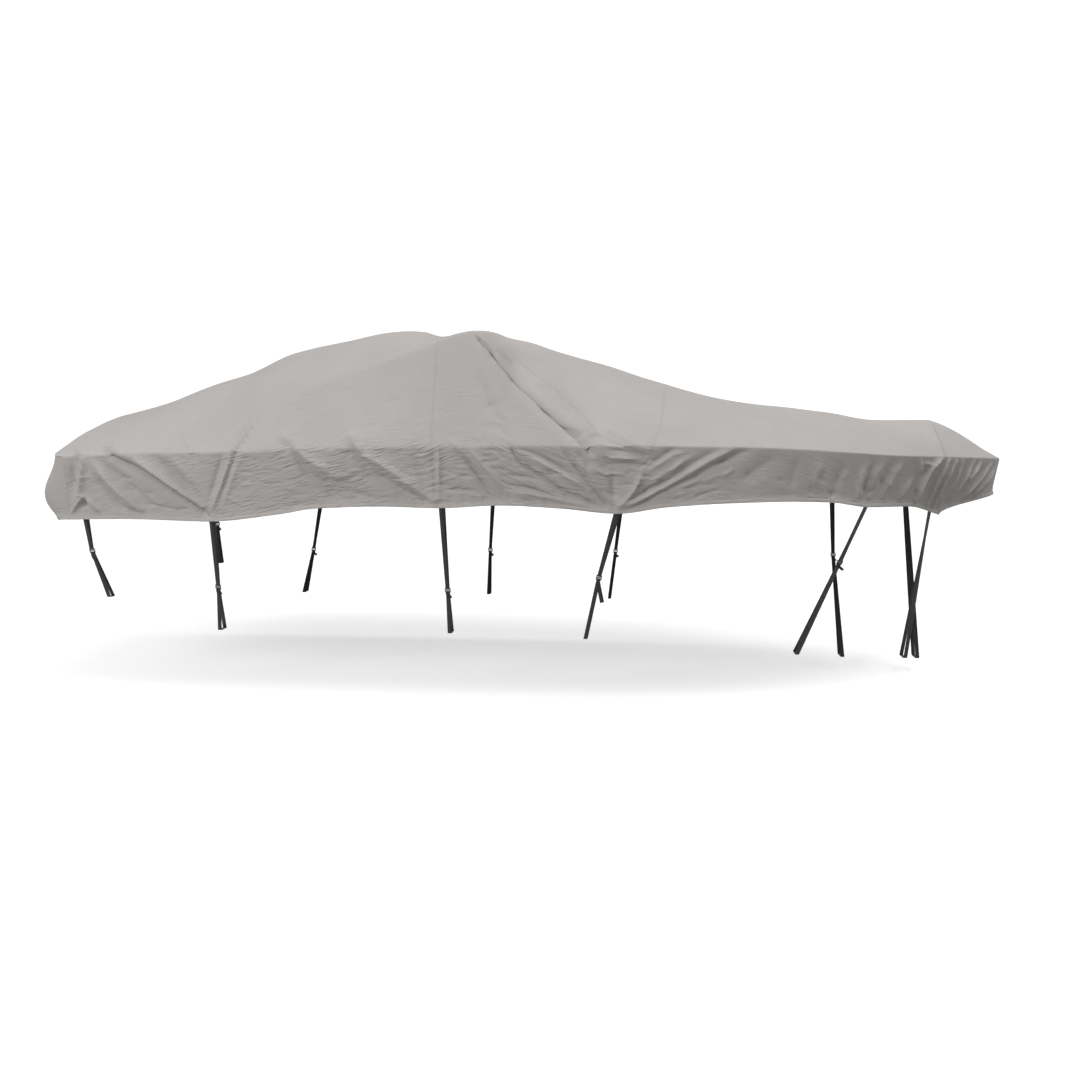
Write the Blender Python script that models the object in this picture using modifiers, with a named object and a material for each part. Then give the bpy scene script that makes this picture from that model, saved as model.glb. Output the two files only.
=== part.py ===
"""A fitted runabout cover with its tie-down straps, hollow, as it hangs stretched over a boat.

Metres. +X runs to the bow, +Y to port and +Z up. The origin is on the underside of the cloth
at its highest point, where a support pole pushes it up.
"""

import math
from collections import namedtuple

import bmesh
import bpy
import numpy as np
from mathutils import Matrix, Vector

# Driving sizes
CLOTH = 0.002
WEBBING = 0.0015
WEBBING_WIDTH = 0.025
SEAM_GAP = 0.0006
STERN_X = -1.99
CORNER_SEAM_X = -1.915
CORNER_RADIUS = 0.075
DROP_BULGE = 0.12
DROP_RAKE = 0.03
DROP_HEM_RISE = 0.004
DROP_SAG_POWER = 1.6
BULGE_POWER = 0.8
CORNER_LEVEL = 1.6
RAIL_LEVEL = 2.0
HEM_LEVEL = 3.0
BOW_SEAM_X = 3.46
STEM_X = 3.925
STEM_RAIL_Z = -0.862
STEM_HEM_Z = -1.09
HEM_TIP_SETBACK = 0.04
HEM_RISE_TURN = 0.87
HEM_RISE_POWER = 0.6
BOW_FLARE_X = 0.16
BOW_FLARE_Y = 0.12
RAIL_NOSE = 0.10
HEM_NOSE = 0.08
STRAP_CLEARANCE = 0.0008
BOW_EASE = 0.0006
BOW_CURVE_X = 2.5
SEWN_LEVEL = 2.9
LOOP_SPREAD = 0.014
LOOP_DEPTH = 0.006
BUCKLE_WIDTH = 0.036
BUCKLE_HEIGHT = 0.031
BUCKLE_THICKNESS = 0.004
SLOT_WIDTH = 0.028
SLOT_HEIGHT = 0.0065
SLOT_DROP = 0.0068
SLOT_FACE = 0.0033
LONG_BEND = 0.012
TIGHT_BEND = 0.0035
LOOP_CLOSE = 0.020
RUN_OPENS = 0.022
END_LIES_FROM = 0.040
END_STOPS = 0.018
TAIL_TURN = 0.026
TAIL_LIFT = 0.0075
TAIL_STEP_X = 0.02
TAIL_STEP_Y = 0.012
TAIL_START = 0.018
STARBOARD = -1
PORT = 1

# One row for each station along the boat: the ridge on the centreline, the shoulder that the
# windscreen and seats push out, and the edge over the rub rail.
Section = namedtuple("Section", "x ridge_z shoulder_y shoulder_z rail_y rail_z")
SECTIONS = (
    Section(-2.00, -0.562, 0.70, -0.708, 1.060, -0.840),
    Section(-1.64, -0.462, 0.79, -0.664, 1.090, -0.820),
    Section(-1.36, -0.356, 0.82, -0.613, 1.115, -0.812),
    Section(-1.11, -0.280, 0.84, -0.636, 1.130, -0.809),
    Section(-0.80, -0.143, 0.82, -0.528, 1.135, -0.802),
    Section(-0.40, -0.062, 0.81, -0.400, 1.135, -0.788),
    Section(-0.10, -0.003, 0.80, -0.300, 1.135, -0.780),
    Section(0.00, 0.002, 0.80, -0.258, 1.135, -0.778),
    Section(0.10, -0.002, 0.80, -0.222, 1.135, -0.776),
    Section(0.25, -0.038, 0.80, -0.178, 1.135, -0.773),
    Section(0.48, -0.014, 0.80, -0.094, 1.135, -0.770),
    Section(0.60, -0.010, 0.80, -0.078, 1.135, -0.770),
    Section(0.70, -0.030, 0.84, -0.190, 1.135, -0.769),
    Section(0.83, -0.080, 0.90, -0.370, 1.135, -0.769),
    Section(1.00, -0.137, 0.98, -0.500, 1.135, -0.768),
    Section(1.17, -0.187, 1.04, -0.635, 1.135, -0.768),
    Section(1.36, -0.240, 1.03, -0.690, 1.130, -0.767),
    Section(1.63, -0.332, 0.88, -0.640, 1.120, -0.767),
    Section(2.22, -0.482, 0.80, -0.672, 1.055, -0.775),
    Section(2.79, -0.553, 0.65, -0.722, 0.865, -0.804),
    Section(3.14, -0.604, 0.49, -0.752, 0.655, -0.828),
    Section(3.46, -0.606, 0.32, -0.755, 0.435, -0.840),
)

# The elastic hem: how high it runs on each side, and how far inside the rail it lies. It dips
# where a strap pulls on it.
HemPoint = namedtuple("HemPoint", "x starboard_z port_z tuck")
HEM = (
    HemPoint(-2.00, -1.222, -1.212, 0.050),
    HemPoint(-1.45, -1.211, -1.190, 0.045),
    HemPoint(-1.00, -1.220, -1.216, 0.042),
    HemPoint(-0.56, -1.174, -1.170, 0.040),
    HemPoint(-0.33, -1.137, -1.142, 0.040),
    HemPoint(0.07, -1.123, -1.128, 0.040),
    HemPoint(0.40, -1.130, -1.142, 0.040),
    HemPoint(0.78, -1.112, -1.118, 0.040),
    HemPoint(1.12, -1.127, -1.120, 0.040),
    HemPoint(1.45, -1.156, -1.150, 0.040),
    HemPoint(1.74, -1.118, -1.124, 0.040),
    HemPoint(2.04, -1.098, -1.102, 0.042),
    HemPoint(2.40, -1.088, -1.092, 0.045),
    HemPoint(2.70, -1.098, -1.100, 0.050),
    HemPoint(2.94, -1.133, -1.128, 0.065),
    HemPoint(3.23, -1.141, -1.136, 0.095),
    HemPoint(3.46, -1.203, -1.196, 0.125),
)

# The main folds, as soft ridges (height above nought) and troughs on the sides of the cover:
# each runs from its first point to its second, measured along the boat and up.
Fold = namedtuple("Fold", "side x1 z1 x2 z2 width height")
FOLDS = (
    Fold(STARBOARD, -1.62, -0.83, -1.04, -1.17, 0.050, -0.014),
    Fold(STARBOARD, -1.60, -0.90, -1.38, -1.13, 0.050, -0.010),
    Fold(STARBOARD, -1.55, -0.84, -1.20, -1.04, 0.045, 0.010),
    Fold(STARBOARD, -0.78, -0.54, -0.95, -1.12, 0.045, -0.012),
    Fold(STARBOARD, -0.70, -0.60, -0.88, -1.12, 0.045, 0.010),
    Fold(STARBOARD, -0.52, -0.70, -0.14, -1.09, 0.055, -0.014),
    Fold(STARBOARD, -0.12, -0.70, 0.36, -1.07, 0.055, -0.014),
    Fold(STARBOARD, 0.50, -0.76, 0.73, -1.03, 0.050, -0.010),
    Fold(STARBOARD, 0.60, -0.14, 1.20, -0.68, 0.060, -0.022),
    Fold(STARBOARD, 0.66, -0.10, 1.28, -0.64, 0.060, 0.016),
    Fold(STARBOARD, 0.84, -0.80, 1.38, -1.10, 0.050, -0.014),
    Fold(STARBOARD, 1.16, -0.80, 1.40, -1.08, 0.045, -0.012),
    Fold(STARBOARD, 1.60, -0.90, 1.46, -1.10, 0.050, -0.012),
    Fold(STARBOARD, 1.52, -1.10, 2.16, -0.80, 0.050, 0.016),
    Fold(STARBOARD, 1.68, -1.05, 2.04, -0.88, 0.045, -0.012),
    Fold(STARBOARD, 3.42, -0.86, 3.28, -1.10, 0.040, 0.007),
    Fold(PORT, -1.50, -0.85, -1.06, -1.16, 0.055, -0.013),
    Fold(PORT, -0.72, -0.60, -0.94, -1.13, 0.050, -0.013),
    Fold(PORT, -0.45, -0.78, 0.30, -1.10, 0.055, -0.012),
    Fold(PORT, 0.62, -0.16, 1.24, -0.70, 0.060, -0.018),
    Fold(PORT, 0.92, -0.82, 1.40, -1.09, 0.055, -0.013),
    Fold(PORT, 1.72, -0.86, 1.48, -1.10, 0.050, 0.013),
    Fold(PORT, 2.36, -0.84, 1.64, -1.04, 0.055, -0.012),
    Fold(PORT, 3.05, -0.86, 2.92, -1.08, 0.050, 0.009),
)

# The tie-downs, stern first: where each hangs from the hem, its buckle, and the front edge of
# the beam that it goes round. A buckle_z of nought marks a strap with no buckle.
TieDown = namedtuple("TieDown", "name side hem_x buckle_x buckle_y buckle_z beam_x beam_y beam_z beam tail")
TIE_DOWNS = (
    TieDown("starboard_1", STARBOARD, -1.81, -1.80, 0.970, -1.420, -1.74, 0.900, -1.720, 0.05, 0.03),
    TieDown("starboard_2", STARBOARD, -0.98, -1.01, 0.940, -1.640, -1.05, 0.840, -1.930, 0.08, 0.03),
    TieDown("starboard_3", STARBOARD, 0.42, 0.43, 0.945, -1.640, 0.42, 0.840, -1.925, 0.08, 0.03),
    TieDown("starboard_4", STARBOARD, 1.445, 1.345, 0.960, -1.550, 1.26, 0.840, -1.945, 0.08, 0.13),
    TieDown("starboard_5", STARBOARD, 2.93, 2.82, 0.550, -1.490, 2.65, 0.055, -2.180, 0.11, 0.03),
    TieDown("starboard_6", STARBOARD, 3.40, 0.0, 0.0, 0.0, 3.36, 0.055, -2.190, 0.11, 0.0),
    TieDown("port_1", PORT, -1.81, -1.80, 0.970, -1.420, -1.74, 0.900, -1.720, 0.05, 0.03),
    TieDown("port_2", PORT, -0.98, -1.00, 0.940, -1.610, -1.03, 0.840, -1.930, 0.08, 0.03),
    TieDown("port_3", PORT, 0.42, 0.42, 0.945, -1.600, 0.43, 0.840, -1.925, 0.08, 0.03),
    TieDown("port_4", PORT, 1.445, 1.40, 0.950, -1.600, 1.36, 0.840, -1.945, 0.08, 0.03),
    TieDown("port_5", PORT, 2.98, 2.97, 0.500, -1.560, 2.95, 0.055, -2.190, 0.11, 0.03),
    TieDown("port_6", PORT, 3.42, 0.0, 0.0, 0.0, 3.44, 0.055, -2.190, 0.11, 0.0),
)

# Where the grid lines of the cloth run from the ridge (0) over the shoulder (1) and the rail
# (2) to the hem (3).
LEVELS = (0.0, 0.35, 0.7, 1.0, 1.3, 1.7, 1.94, 2.07, 2.3, 2.55, 2.8, 3.0)
DROP_LEVELS = (0.0, 0.35, 0.7, 1.0, 1.3, 1.7, 1.85, 1.94, RAIL_LEVEL)
DROP_ROWS = (0.0, 0.2, 0.4, 0.6, 0.8, 1.0)
AFT_COLUMNS = 31
MIDDLE_COLUMNS = 18
FORE_COLUMNS = 24
BOW_SPOKES = 8
CROWN_POWER = 1.4

# How far each side of a level the corners at the shoulder and the rail are rounded off.
Rounding = namedtuple("Rounding", "level reach")
ROUNDINGS = (
    Rounding(0.0, 0.0),
    Rounding(0.7, 0.2),
    Rounding(1.0, 0.25),
    Rounding(1.3, 0.2),
    Rounding(1.8, 0.07),
    Rounding(2.2, 0.07),
    Rounding(3.0, 0.0),
)

# Folds push the cloth upward on top and sideways past STEEP_LEVEL, and fade to the hem band.
FLAT_LEVEL = 0.8
STEEP_LEVEL = 1.6
HEM_BAND_LEVEL = 2.8
HEM_FADE = 0.25

# How far the transom drop's top edge lies under the aft width, from the middle to its corners.
Setback = namedtuple("Setback", "level depth")
TRANSOM_SETBACKS = (
    Setback(1.7, 0.0027),
    Setback(1.85, 0.0056),
    Setback(1.94, 0.012),
    Setback(RAIL_LEVEL, 0.026),
)


def clear_scene():
    for thing in list(bpy.data.objects):
        bpy.data.objects.remove(thing, do_unlink=True)


def make_material(name, colour, roughness, metallic=0.0):
    material = bpy.data.materials.new(name)
    material.use_nodes = True
    shader = material.node_tree.nodes["Principled BSDF"]
    shader.inputs["Base Color"].default_value = (*colour, 1.0)
    shader.inputs["Roughness"].default_value = roughness
    shader.inputs["Metallic"].default_value = metallic
    return material


def table_value(rows, column, x):
    """Read a column of a table at x, on a smooth curve that never overshoots its rows."""
    xs = [row.x for row in rows]
    ys = [getattr(row, column) for row in rows]
    x = min(max(x, xs[0]), xs[-1])
    i = min(max(int(np.searchsorted(xs, x)) - 1, 0), len(xs) - 2)
    slopes = [(ys[k + 1] - ys[k]) / (xs[k + 1] - xs[k]) for k in range(len(xs) - 1)]

    def tangent(k):
        if k == 0 or k == len(xs) - 1:
            return slopes[0] if k == 0 else slopes[-1]
        if slopes[k - 1] * slopes[k] <= 0:
            return 0.0
        return 2 / (1 / slopes[k - 1] + 1 / slopes[k])

    step = xs[i + 1] - xs[i]
    s = (x - xs[i]) / step
    rise = ys[i] * (1 + 2 * s) * (1 - s) ** 2 + ys[i + 1] * s * s * (3 - 2 * s)
    return rise + step * (tangent(i) * s * (1 - s) ** 2 - tangent(i + 1) * s * s * (1 - s))


def body_knots(x, side):
    """Ridge, shoulder, rail and hem points of the section at x."""
    shoulder_y = side * table_value(SECTIONS, "shoulder_y", x)
    rail_y = table_value(SECTIONS, "rail_y", x)
    hem_column = "starboard_z" if side == STARBOARD else "port_z"
    hem_y = side * (rail_y - table_value(HEM, "tuck", x))
    return (
        Vector((x, 0.0, table_value(SECTIONS, "ridge_z", x))),
        Vector((x, shoulder_y, table_value(SECTIONS, "shoulder_z", x))),
        Vector((x, side * rail_y, table_value(SECTIONS, "rail_z", x))),
        Vector((x, hem_y, table_value(HEM, hem_column, x))),
    )


def sharp_point(knots, level):
    """A point on the broken line through the knots, the crown rounded by its power."""
    first = min(int(level), 2)
    share = level - first
    point = knots[first].lerp(knots[first + 1], share)
    if first == 0:
        point.z = knots[0].z + (knots[1].z - knots[0].z) * share**CROWN_POWER
    return point


def soft_point(knots, level):
    """The same line with its corners at the shoulder and the rail rounded off."""
    levels, reaches = zip(*ROUNDINGS)
    reach = float(np.interp(level, levels, reaches))
    before = sharp_point(knots, max(level - reach, 0.0))
    after = sharp_point(knots, min(level + reach, 3.0))
    return (before + after) / 4 + sharp_point(knots, level) / 2


def fold_relief(side, x, z):
    """How far the folds of one side lift the cloth at a place."""
    lift = 0.0
    for fold in FOLDS:
        if fold.side != side:
            continue
        run = Vector((fold.x2 - fold.x1, fold.z2 - fold.z1))
        reach = Vector((x - fold.x1, z - fold.z1))
        along = min(max(reach.dot(run) / run.length_squared, 0.0), 1.0)
        across = (reach - run * along).length
        lift += fold.height * math.exp(-((across / fold.width) ** 2))
    return lift


def cloth_point(knots, level, side, outward=None):
    """A point of the cloth with its folds, which push it outward on the sides and up on top."""
    point = soft_point(knots, level)
    steep = min(max((level - FLAT_LEVEL) / (STEEP_LEVEL - FLAT_LEVEL), 0.0), 1.0)
    sideways = outward or Vector((0.0, side, 0.0))
    push = (sideways * steep + Vector((0, 0, 1)) * (1 - steep)).normalized()
    calm = min(level, max(HEM_BAND_LEVEL - level, 0.0) / HEM_FADE, 1.0)
    return point + push * fold_relief(side, point.x, point.z) * calm


def signed_levels(levels):
    """Levels from the starboard side over the ridge to the port side, starboard ones negative."""
    return [-level for level in reversed(levels[1:])] + list(levels)


def solid_sheet(name, grid, material, collection, thickness=CLOTH):
    """Skin a grid of points and give it the cloth's thickness inwards."""
    mesh = bpy.data.meshes.new(name)
    shape = bmesh.new()
    rows = [[shape.verts.new(point) for point in row] for row in grid]
    for this_row, next_row in zip(rows, rows[1:]):
        for k in range(len(this_row) - 1):
            shape.faces.new((this_row[k], next_row[k], next_row[k + 1], this_row[k + 1]))
    bmesh.ops.remove_doubles(shape, verts=shape.verts, dist=0.0001)
    shape.to_mesh(mesh)
    shape.free()
    mesh.materials.append(material)
    mesh.shade_smooth()
    sheet = bpy.data.objects.new(name, mesh)
    collection.objects.link(sheet)
    wall = sheet.modifiers.new("Thickness", "SOLIDIFY")
    wall.thickness = thickness
    wall.offset = -1.0
    wall.use_even_offset = True
    wall.use_quality_normals = True
    return sheet


def stern_edge_x(y, level):
    """Where the aft width ends: at the corner seam on the sides, on a rounded edge on top."""
    if level >= RAIL_LEVEL:
        return CORNER_SEAM_X
    inner = table_value(SECTIONS, "rail_y", CORNER_SEAM_X) - CORNER_RADIUS
    past = min(max(abs(y) - inner, 0.0), CORNER_RADIUS)
    return CORNER_SEAM_X - math.sqrt(CORNER_RADIUS**2 - past**2)


def stern_edge_point(level, side):
    guess = soft_point(body_knots(STERN_X, side), level)
    return cloth_point(body_knots(stern_edge_x(guess.y, level), side), level, side)


def aft_seam_x(level):
    return 0.33 + 0.02 * level


def fore_seam_x(level):
    return 1.755 - 0.055 * level


def width_grid(rear_x, front_x, columns):
    """Points of one width of cloth, from its rear edge to its front edge."""
    grid = []
    for column in range(columns + 1):
        row = []
        for level in signed_levels(LEVELS):
            side = STARBOARD if level < 0 else PORT
            rear = rear_x(abs(level), side)
            front = front_x(abs(level), side)
            x = rear + (front - rear) * column / columns
            row.append(cloth_point(body_knots(x, side), abs(level), side))
        grid.append(row)
    return grid


def make_aft_width(material, collection):
    def rear(level, side):
        guess = soft_point(body_knots(STERN_X, side), level)
        return stern_edge_x(guess.y, level) + SEAM_GAP / 2

    def front(level, side):
        return aft_seam_x(level) - SEAM_GAP / 2

    solid_sheet("aft_width", width_grid(rear, front, AFT_COLUMNS), material, collection)


def make_middle_width(material, collection):
    def rear(level, side):
        return aft_seam_x(level) + SEAM_GAP / 2

    def front(level, side):
        return fore_seam_x(level) - SEAM_GAP / 2

    solid_sheet("middle_width", width_grid(rear, front, MIDDLE_COLUMNS), material, collection)


def make_fore_width(material, collection):
    def rear(level, side):
        return fore_seam_x(level) + SEAM_GAP / 2

    def front(level, side):
        return BOW_SEAM_X - SEAM_GAP / 2

    solid_sheet("fore_width", width_grid(rear, front, FORE_COLUMNS), material, collection)


def bow_arc(seam_point, tip_x, nose, share, side):
    """Plan of the bow from the seam round to the centreline, share running from 0 to 1."""
    start = Vector((seam_point.x, seam_point.y))
    tip = Vector((tip_x, 0.0))
    lead = start + Vector((BOW_FLARE_X, -side * BOW_FLARE_Y))
    nose_point = tip + Vector((0.0, side * nose))
    a = start * (1 - share) ** 3
    b = lead * 3 * share * (1 - share) ** 2
    c = nose_point * 3 * share**2 * (1 - share)
    return a + b + c + tip * share**3


def bow_knots(turn, side):
    """Knots of one spoke of the bow, turn running from 0 at the seam to 1 at the stem."""
    ridge, shoulder, rail, hem = body_knots(BOW_SEAM_X, side)
    rail_plan = bow_arc(rail, STEM_X, RAIL_NOSE, turn, side)
    hem_plan = bow_arc(hem, STEM_X - HEM_TIP_SETBACK, HEM_NOSE, turn, side)
    rail_z = rail.z + (STEM_RAIL_Z - rail.z) * turn
    hem_z = hem.z + (STEM_HEM_Z - hem.z) * min(turn / HEM_RISE_TURN, 1.0) ** HEM_RISE_POWER
    part_way = shoulder.y / rail.y
    fall = (shoulder.z - ridge.z) / (rail.z - ridge.z)
    fall += (part_way - fall) * turn
    shoulder_plan = Vector((ridge.x, 0.0)).lerp(rail_plan, part_way)
    shoulder_z = ridge.z + (rail_z - ridge.z) * fall
    return (
        ridge,
        Vector((shoulder_plan.x, shoulder_plan.y, shoulder_z)),
        Vector((rail_plan.x, rail_plan.y, rail_z)),
        Vector((hem_plan.x, hem_plan.y, hem_z)),
    )


def make_bow_width(material, collection):
    grid = []
    for number in range(-BOW_SPOKES, BOW_SPOKES + 1):
        side = STARBOARD if number < 0 else PORT
        turn = 1 - abs(number) / BOW_SPOKES
        knots = bow_knots(turn, side)
        ridge = knots[0]
        spread = knots[2] - ridge
        outward = Vector((spread.x, spread.y, 0.0)).normalized()
        gap = Vector((SEAM_GAP / 2, 0.0, 0.0))
        grid.append([cloth_point(knots, level, side, outward) + gap for level in LEVELS])
    solid_sheet("bow_width", grid, material, collection)


def transom_point(level, side, drop):
    """A point of the drop over the transom; drop runs from 0 at its top edge to 1 at the hem."""
    top = stern_edge_point(level, side)
    seam_hem = body_knots(CORNER_SEAM_X, side)[3]
    corner = min(max((level - CORNER_LEVEL) / (RAIL_LEVEL - CORNER_LEVEL), 0.0), 1.0)
    away = 1 - corner**2
    hem_y = top.y * abs(seam_hem.y) / table_value(SECTIONS, "rail_y", CORNER_SEAM_X)
    hem = Vector((top.x - DROP_RAKE * away, hem_y, seam_hem.z + DROP_HEM_RISE * (1 - level / RAIL_LEVEL)))
    point = top.lerp(hem, drop)
    point.x -= DROP_BULGE * away * math.sin(math.pi * drop**DROP_SAG_POWER) ** BULGE_POWER
    return point


def make_transom_drop(material, collection):
    levels, depths = zip(*TRANSOM_SETBACKS)
    grid = []
    for signed_level in signed_levels(DROP_LEVELS):
        side = STARBOARD if signed_level < 0 else PORT
        level = abs(signed_level)
        column = []
        for drop in DROP_ROWS:
            point = transom_point(level, side, drop)
            if drop == 0.0:
                point.z -= float(np.interp(level, levels, depths))
            if level == RAIL_LEVEL:
                point.x -= SEAM_GAP / 2
            column.append(point)
        grid.append(column[::-1])
    solid_sheet("transom_drop", grid, material, collection)


Stop = namedtuple("Stop", "point across")


def round_route(stops, radius, steps=2):
    """Replace each corner of a strap's route by a short arc."""
    route = [stops[0]]
    for before, corner, after in zip(stops, stops[1:], stops[2:]):
        to_before = before.point - corner.point
        to_after = after.point - corner.point
        reach = min(radius, to_before.length / 2.1, to_after.length / 2.1)
        start = corner.point + to_before.normalized() * reach
        end = corner.point + to_after.normalized() * reach
        for k in range(steps + 1):
            s = k / steps
            point = start * (1 - s) ** 2 + corner.point * 2 * s * (1 - s) + end * s**2
            route.append(Stop(point, corner.across))
    route.append(stops[-1])
    return route


def make_webbing(name, route, material, collection):
    """A flat strap along a route; each stop says which way the strap's width points there."""
    grid = []
    for k, stop in enumerate(route):
        ahead = route[min(k + 1, len(route) - 1)].point
        behind = route[max(k - 1, 0)].point
        run = (ahead - behind).normalized()
        across = stop.across - run * stop.across.dot(run)
        half = across.normalized() * WEBBING_WIDTH / 2
        grid.append([stop.point - half, stop.point + half])
    strap = solid_sheet(name, grid, material, collection, WEBBING)
    strap.modifiers["Thickness"].offset = 0.0
    return strap


def hem_stop(x, side, level, deeper=0.0):
    """A stop on the inside of the hem, flat against the cloth, for a strap that is sewn there."""
    point = cloth_point(body_knots(x, side), level, side)
    ahead = cloth_point(body_knots(x + 0.03, side), level, side)
    behind = cloth_point(body_knots(x - 0.03, side), level, side)
    along = ahead - behind
    along.z = 0.0
    along.normalize()
    inward = Vector((side * along.y, -side * along.x, 0.0))
    curve_ease = BOW_EASE if x > BOW_CURVE_X else 0.0
    return Stop(point + inward * (CLOTH + WEBBING / 2 + STRAP_CLEARANCE + curve_ease + deeper), along)


def make_tie_down(plan, materials, buckle_mesh, collection):
    """One tie-down: a loop sewn in the hem, its buckle, and the long run round the beam."""
    side = plan.side
    upper = hem_stop(plan.hem_x, side, SEWN_LEVEL)
    lower = hem_stop(plan.hem_x, side, HEM_LEVEL)
    back_upper = hem_stop(plan.hem_x + LOOP_SPREAD, side, SEWN_LEVEL, LOOP_DEPTH)
    back_lower = hem_stop(plan.hem_x + LOOP_SPREAD, side, HEM_LEVEL, LOOP_DEPTH)
    beam_front = Vector((plan.beam_x, side * plan.beam_y, plan.beam_z))
    beam_back = beam_front + Vector((0.0, -side * plan.beam, 0.0))
    along_boat = Vector((1.0, 0.0, 0.0))
    front_stop = Stop(beam_front, along_boat)
    back_stop = Stop(beam_back, along_boat)
    if plan.buckle_z == 0.0:
        stops = [upper, lower, front_stop, back_stop, back_lower, back_upper]
        make_webbing("strap_" + plan.name, round_route(stops, LONG_BEND), materials["webbing"], collection)
        return
    buckle = Vector((plan.buckle_x, side * plan.buckle_y, plan.buckle_z))
    down = (beam_front - lower.point).normalized()
    across = (along_boat - down * down.x).normalized()
    outward = down.cross(across)
    if outward.y * side < 0:
        outward = -outward

    def near_buckle(along, out):
        return Stop(buckle + down * along + outward * out, across)

    loop = [
        upper,
        lower,
        near_buckle(-LOOP_CLOSE, SLOT_FACE),
        near_buckle(-SLOT_DROP, SLOT_FACE),
        near_buckle(-SLOT_DROP, -SLOT_FACE),
        near_buckle(-LOOP_CLOSE, -SLOT_FACE),
        back_lower,
        back_upper,
    ]
    make_webbing("strap_loop_" + plan.name, round_route(loop, TIGHT_BEND), materials["webbing"], collection)
    tail_end = Stop(buckle + Vector((TAIL_STEP_X, side * TAIL_STEP_Y, -TAIL_START - plan.tail)), across)
    run = [
        tail_end,
        near_buckle(TAIL_TURN, TAIL_LIFT),
        near_buckle(SLOT_DROP, SLOT_FACE),
        near_buckle(SLOT_DROP, -SLOT_FACE),
        near_buckle(RUN_OPENS, -SLOT_FACE),
        back_stop,
        front_stop,
        near_buckle(END_LIES_FROM, 0.0),
        near_buckle(END_STOPS, 0.0),
    ]
    make_webbing("strap_" + plan.name, round_route(run, TIGHT_BEND), materials["webbing"], collection)
    slide = bpy.data.objects.new("buckle_" + plan.name, buckle_mesh)
    turn = Matrix((across, down, outward)).transposed()
    if turn.determinant() < 0:
        turn = Matrix((-across, down, outward)).transposed()
    slide.matrix_world = Matrix.Translation(buckle) @ turn.to_4x4()
    collection.objects.link(slide)


def rounded_rectangle(curve, width, height, centre_y, corner):
    spline = curve.splines.new("POLY")
    points = []
    for quarter in range(4):
        angle = math.pi / 2 * quarter
        cx = (width / 2 - corner) * (1 if quarter in (0, 3) else -1)
        cy = (height / 2 - corner) * (1 if quarter in (0, 1) else -1) + centre_y
        for step in range(3):
            a = angle + math.pi / 4 * step
            points.append((cx + corner * math.cos(a), cy + corner * math.sin(a)))
    spline.points.add(len(points) - 1)
    for target, (px, py) in zip(spline.points, points):
        target.co = (px, py, 0.0, 1.0)
    spline.use_cyclic_u = True


def make_buckle_mesh(material):
    """A two-slot webbing slide, cut from a flat outline."""
    curve = bpy.data.curves.new("buckle_outline", "CURVE")
    curve.dimensions = "2D"
    curve.fill_mode = "BOTH"
    curve.extrude = BUCKLE_THICKNESS / 2
    rounded_rectangle(curve, BUCKLE_WIDTH, BUCKLE_HEIGHT, 0.0, 0.004)
    rounded_rectangle(curve, SLOT_WIDTH, SLOT_HEIGHT, SLOT_HEIGHT, 0.001)
    rounded_rectangle(curve, SLOT_WIDTH, SLOT_HEIGHT, -SLOT_HEIGHT, 0.001)
    outline = bpy.data.objects.new("buckle_outline", curve)
    bpy.context.scene.collection.objects.link(outline)
    bpy.context.view_layer.update()
    mesh = bpy.data.meshes.new_from_object(outline.evaluated_get(bpy.context.evaluated_depsgraph_get()))
    bpy.data.objects.remove(outline, do_unlink=True)
    shape = bmesh.new()
    shape.from_mesh(mesh)
    bmesh.ops.remove_doubles(shape, verts=shape.verts, dist=0.00001)
    bmesh.ops.recalc_face_normals(shape, faces=shape.faces)
    shape.to_mesh(mesh)
    shape.free()
    mesh.materials.clear()
    mesh.materials.append(material)
    return mesh


def main():
    clear_scene()
    collection = bpy.data.collections.new("boat_cover")
    bpy.context.scene.collection.children.link(collection)
    canvas = make_material("cover_canvas", (0.44, 0.42, 0.40), 0.85)
    materials = {"webbing": make_material("strap_webbing", (0.012, 0.012, 0.014), 0.8)}
    buckle_plastic = make_material("buckle_plastic", (0.01, 0.01, 0.011), 0.45)
    make_transom_drop(canvas, collection)
    make_aft_width(canvas, collection)
    make_middle_width(canvas, collection)
    make_fore_width(canvas, collection)
    make_bow_width(canvas, collection)
    buckle_mesh = make_buckle_mesh(buckle_plastic)
    for plan in TIE_DOWNS:
        make_tie_down(plan, materials, buckle_mesh, collection)


main()
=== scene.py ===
import math
from collections import namedtuple

import bmesh
import bpy
import numpy as np
from mathutils import Matrix, Vector


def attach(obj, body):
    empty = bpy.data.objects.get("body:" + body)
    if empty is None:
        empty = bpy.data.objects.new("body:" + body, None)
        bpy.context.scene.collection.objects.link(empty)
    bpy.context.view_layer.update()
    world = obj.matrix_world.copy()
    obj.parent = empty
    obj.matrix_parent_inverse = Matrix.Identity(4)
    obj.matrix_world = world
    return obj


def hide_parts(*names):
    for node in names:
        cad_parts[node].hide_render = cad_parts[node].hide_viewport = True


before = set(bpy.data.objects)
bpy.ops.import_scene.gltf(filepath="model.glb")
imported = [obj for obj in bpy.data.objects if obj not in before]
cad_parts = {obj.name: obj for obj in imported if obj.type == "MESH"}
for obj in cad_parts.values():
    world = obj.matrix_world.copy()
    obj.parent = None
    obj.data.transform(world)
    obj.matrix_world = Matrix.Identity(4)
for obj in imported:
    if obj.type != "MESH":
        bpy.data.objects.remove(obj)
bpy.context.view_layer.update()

starboard, port = -1, 1

# shape of the cover over the boat, in metres, +X to the bow and +Y to port

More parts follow.
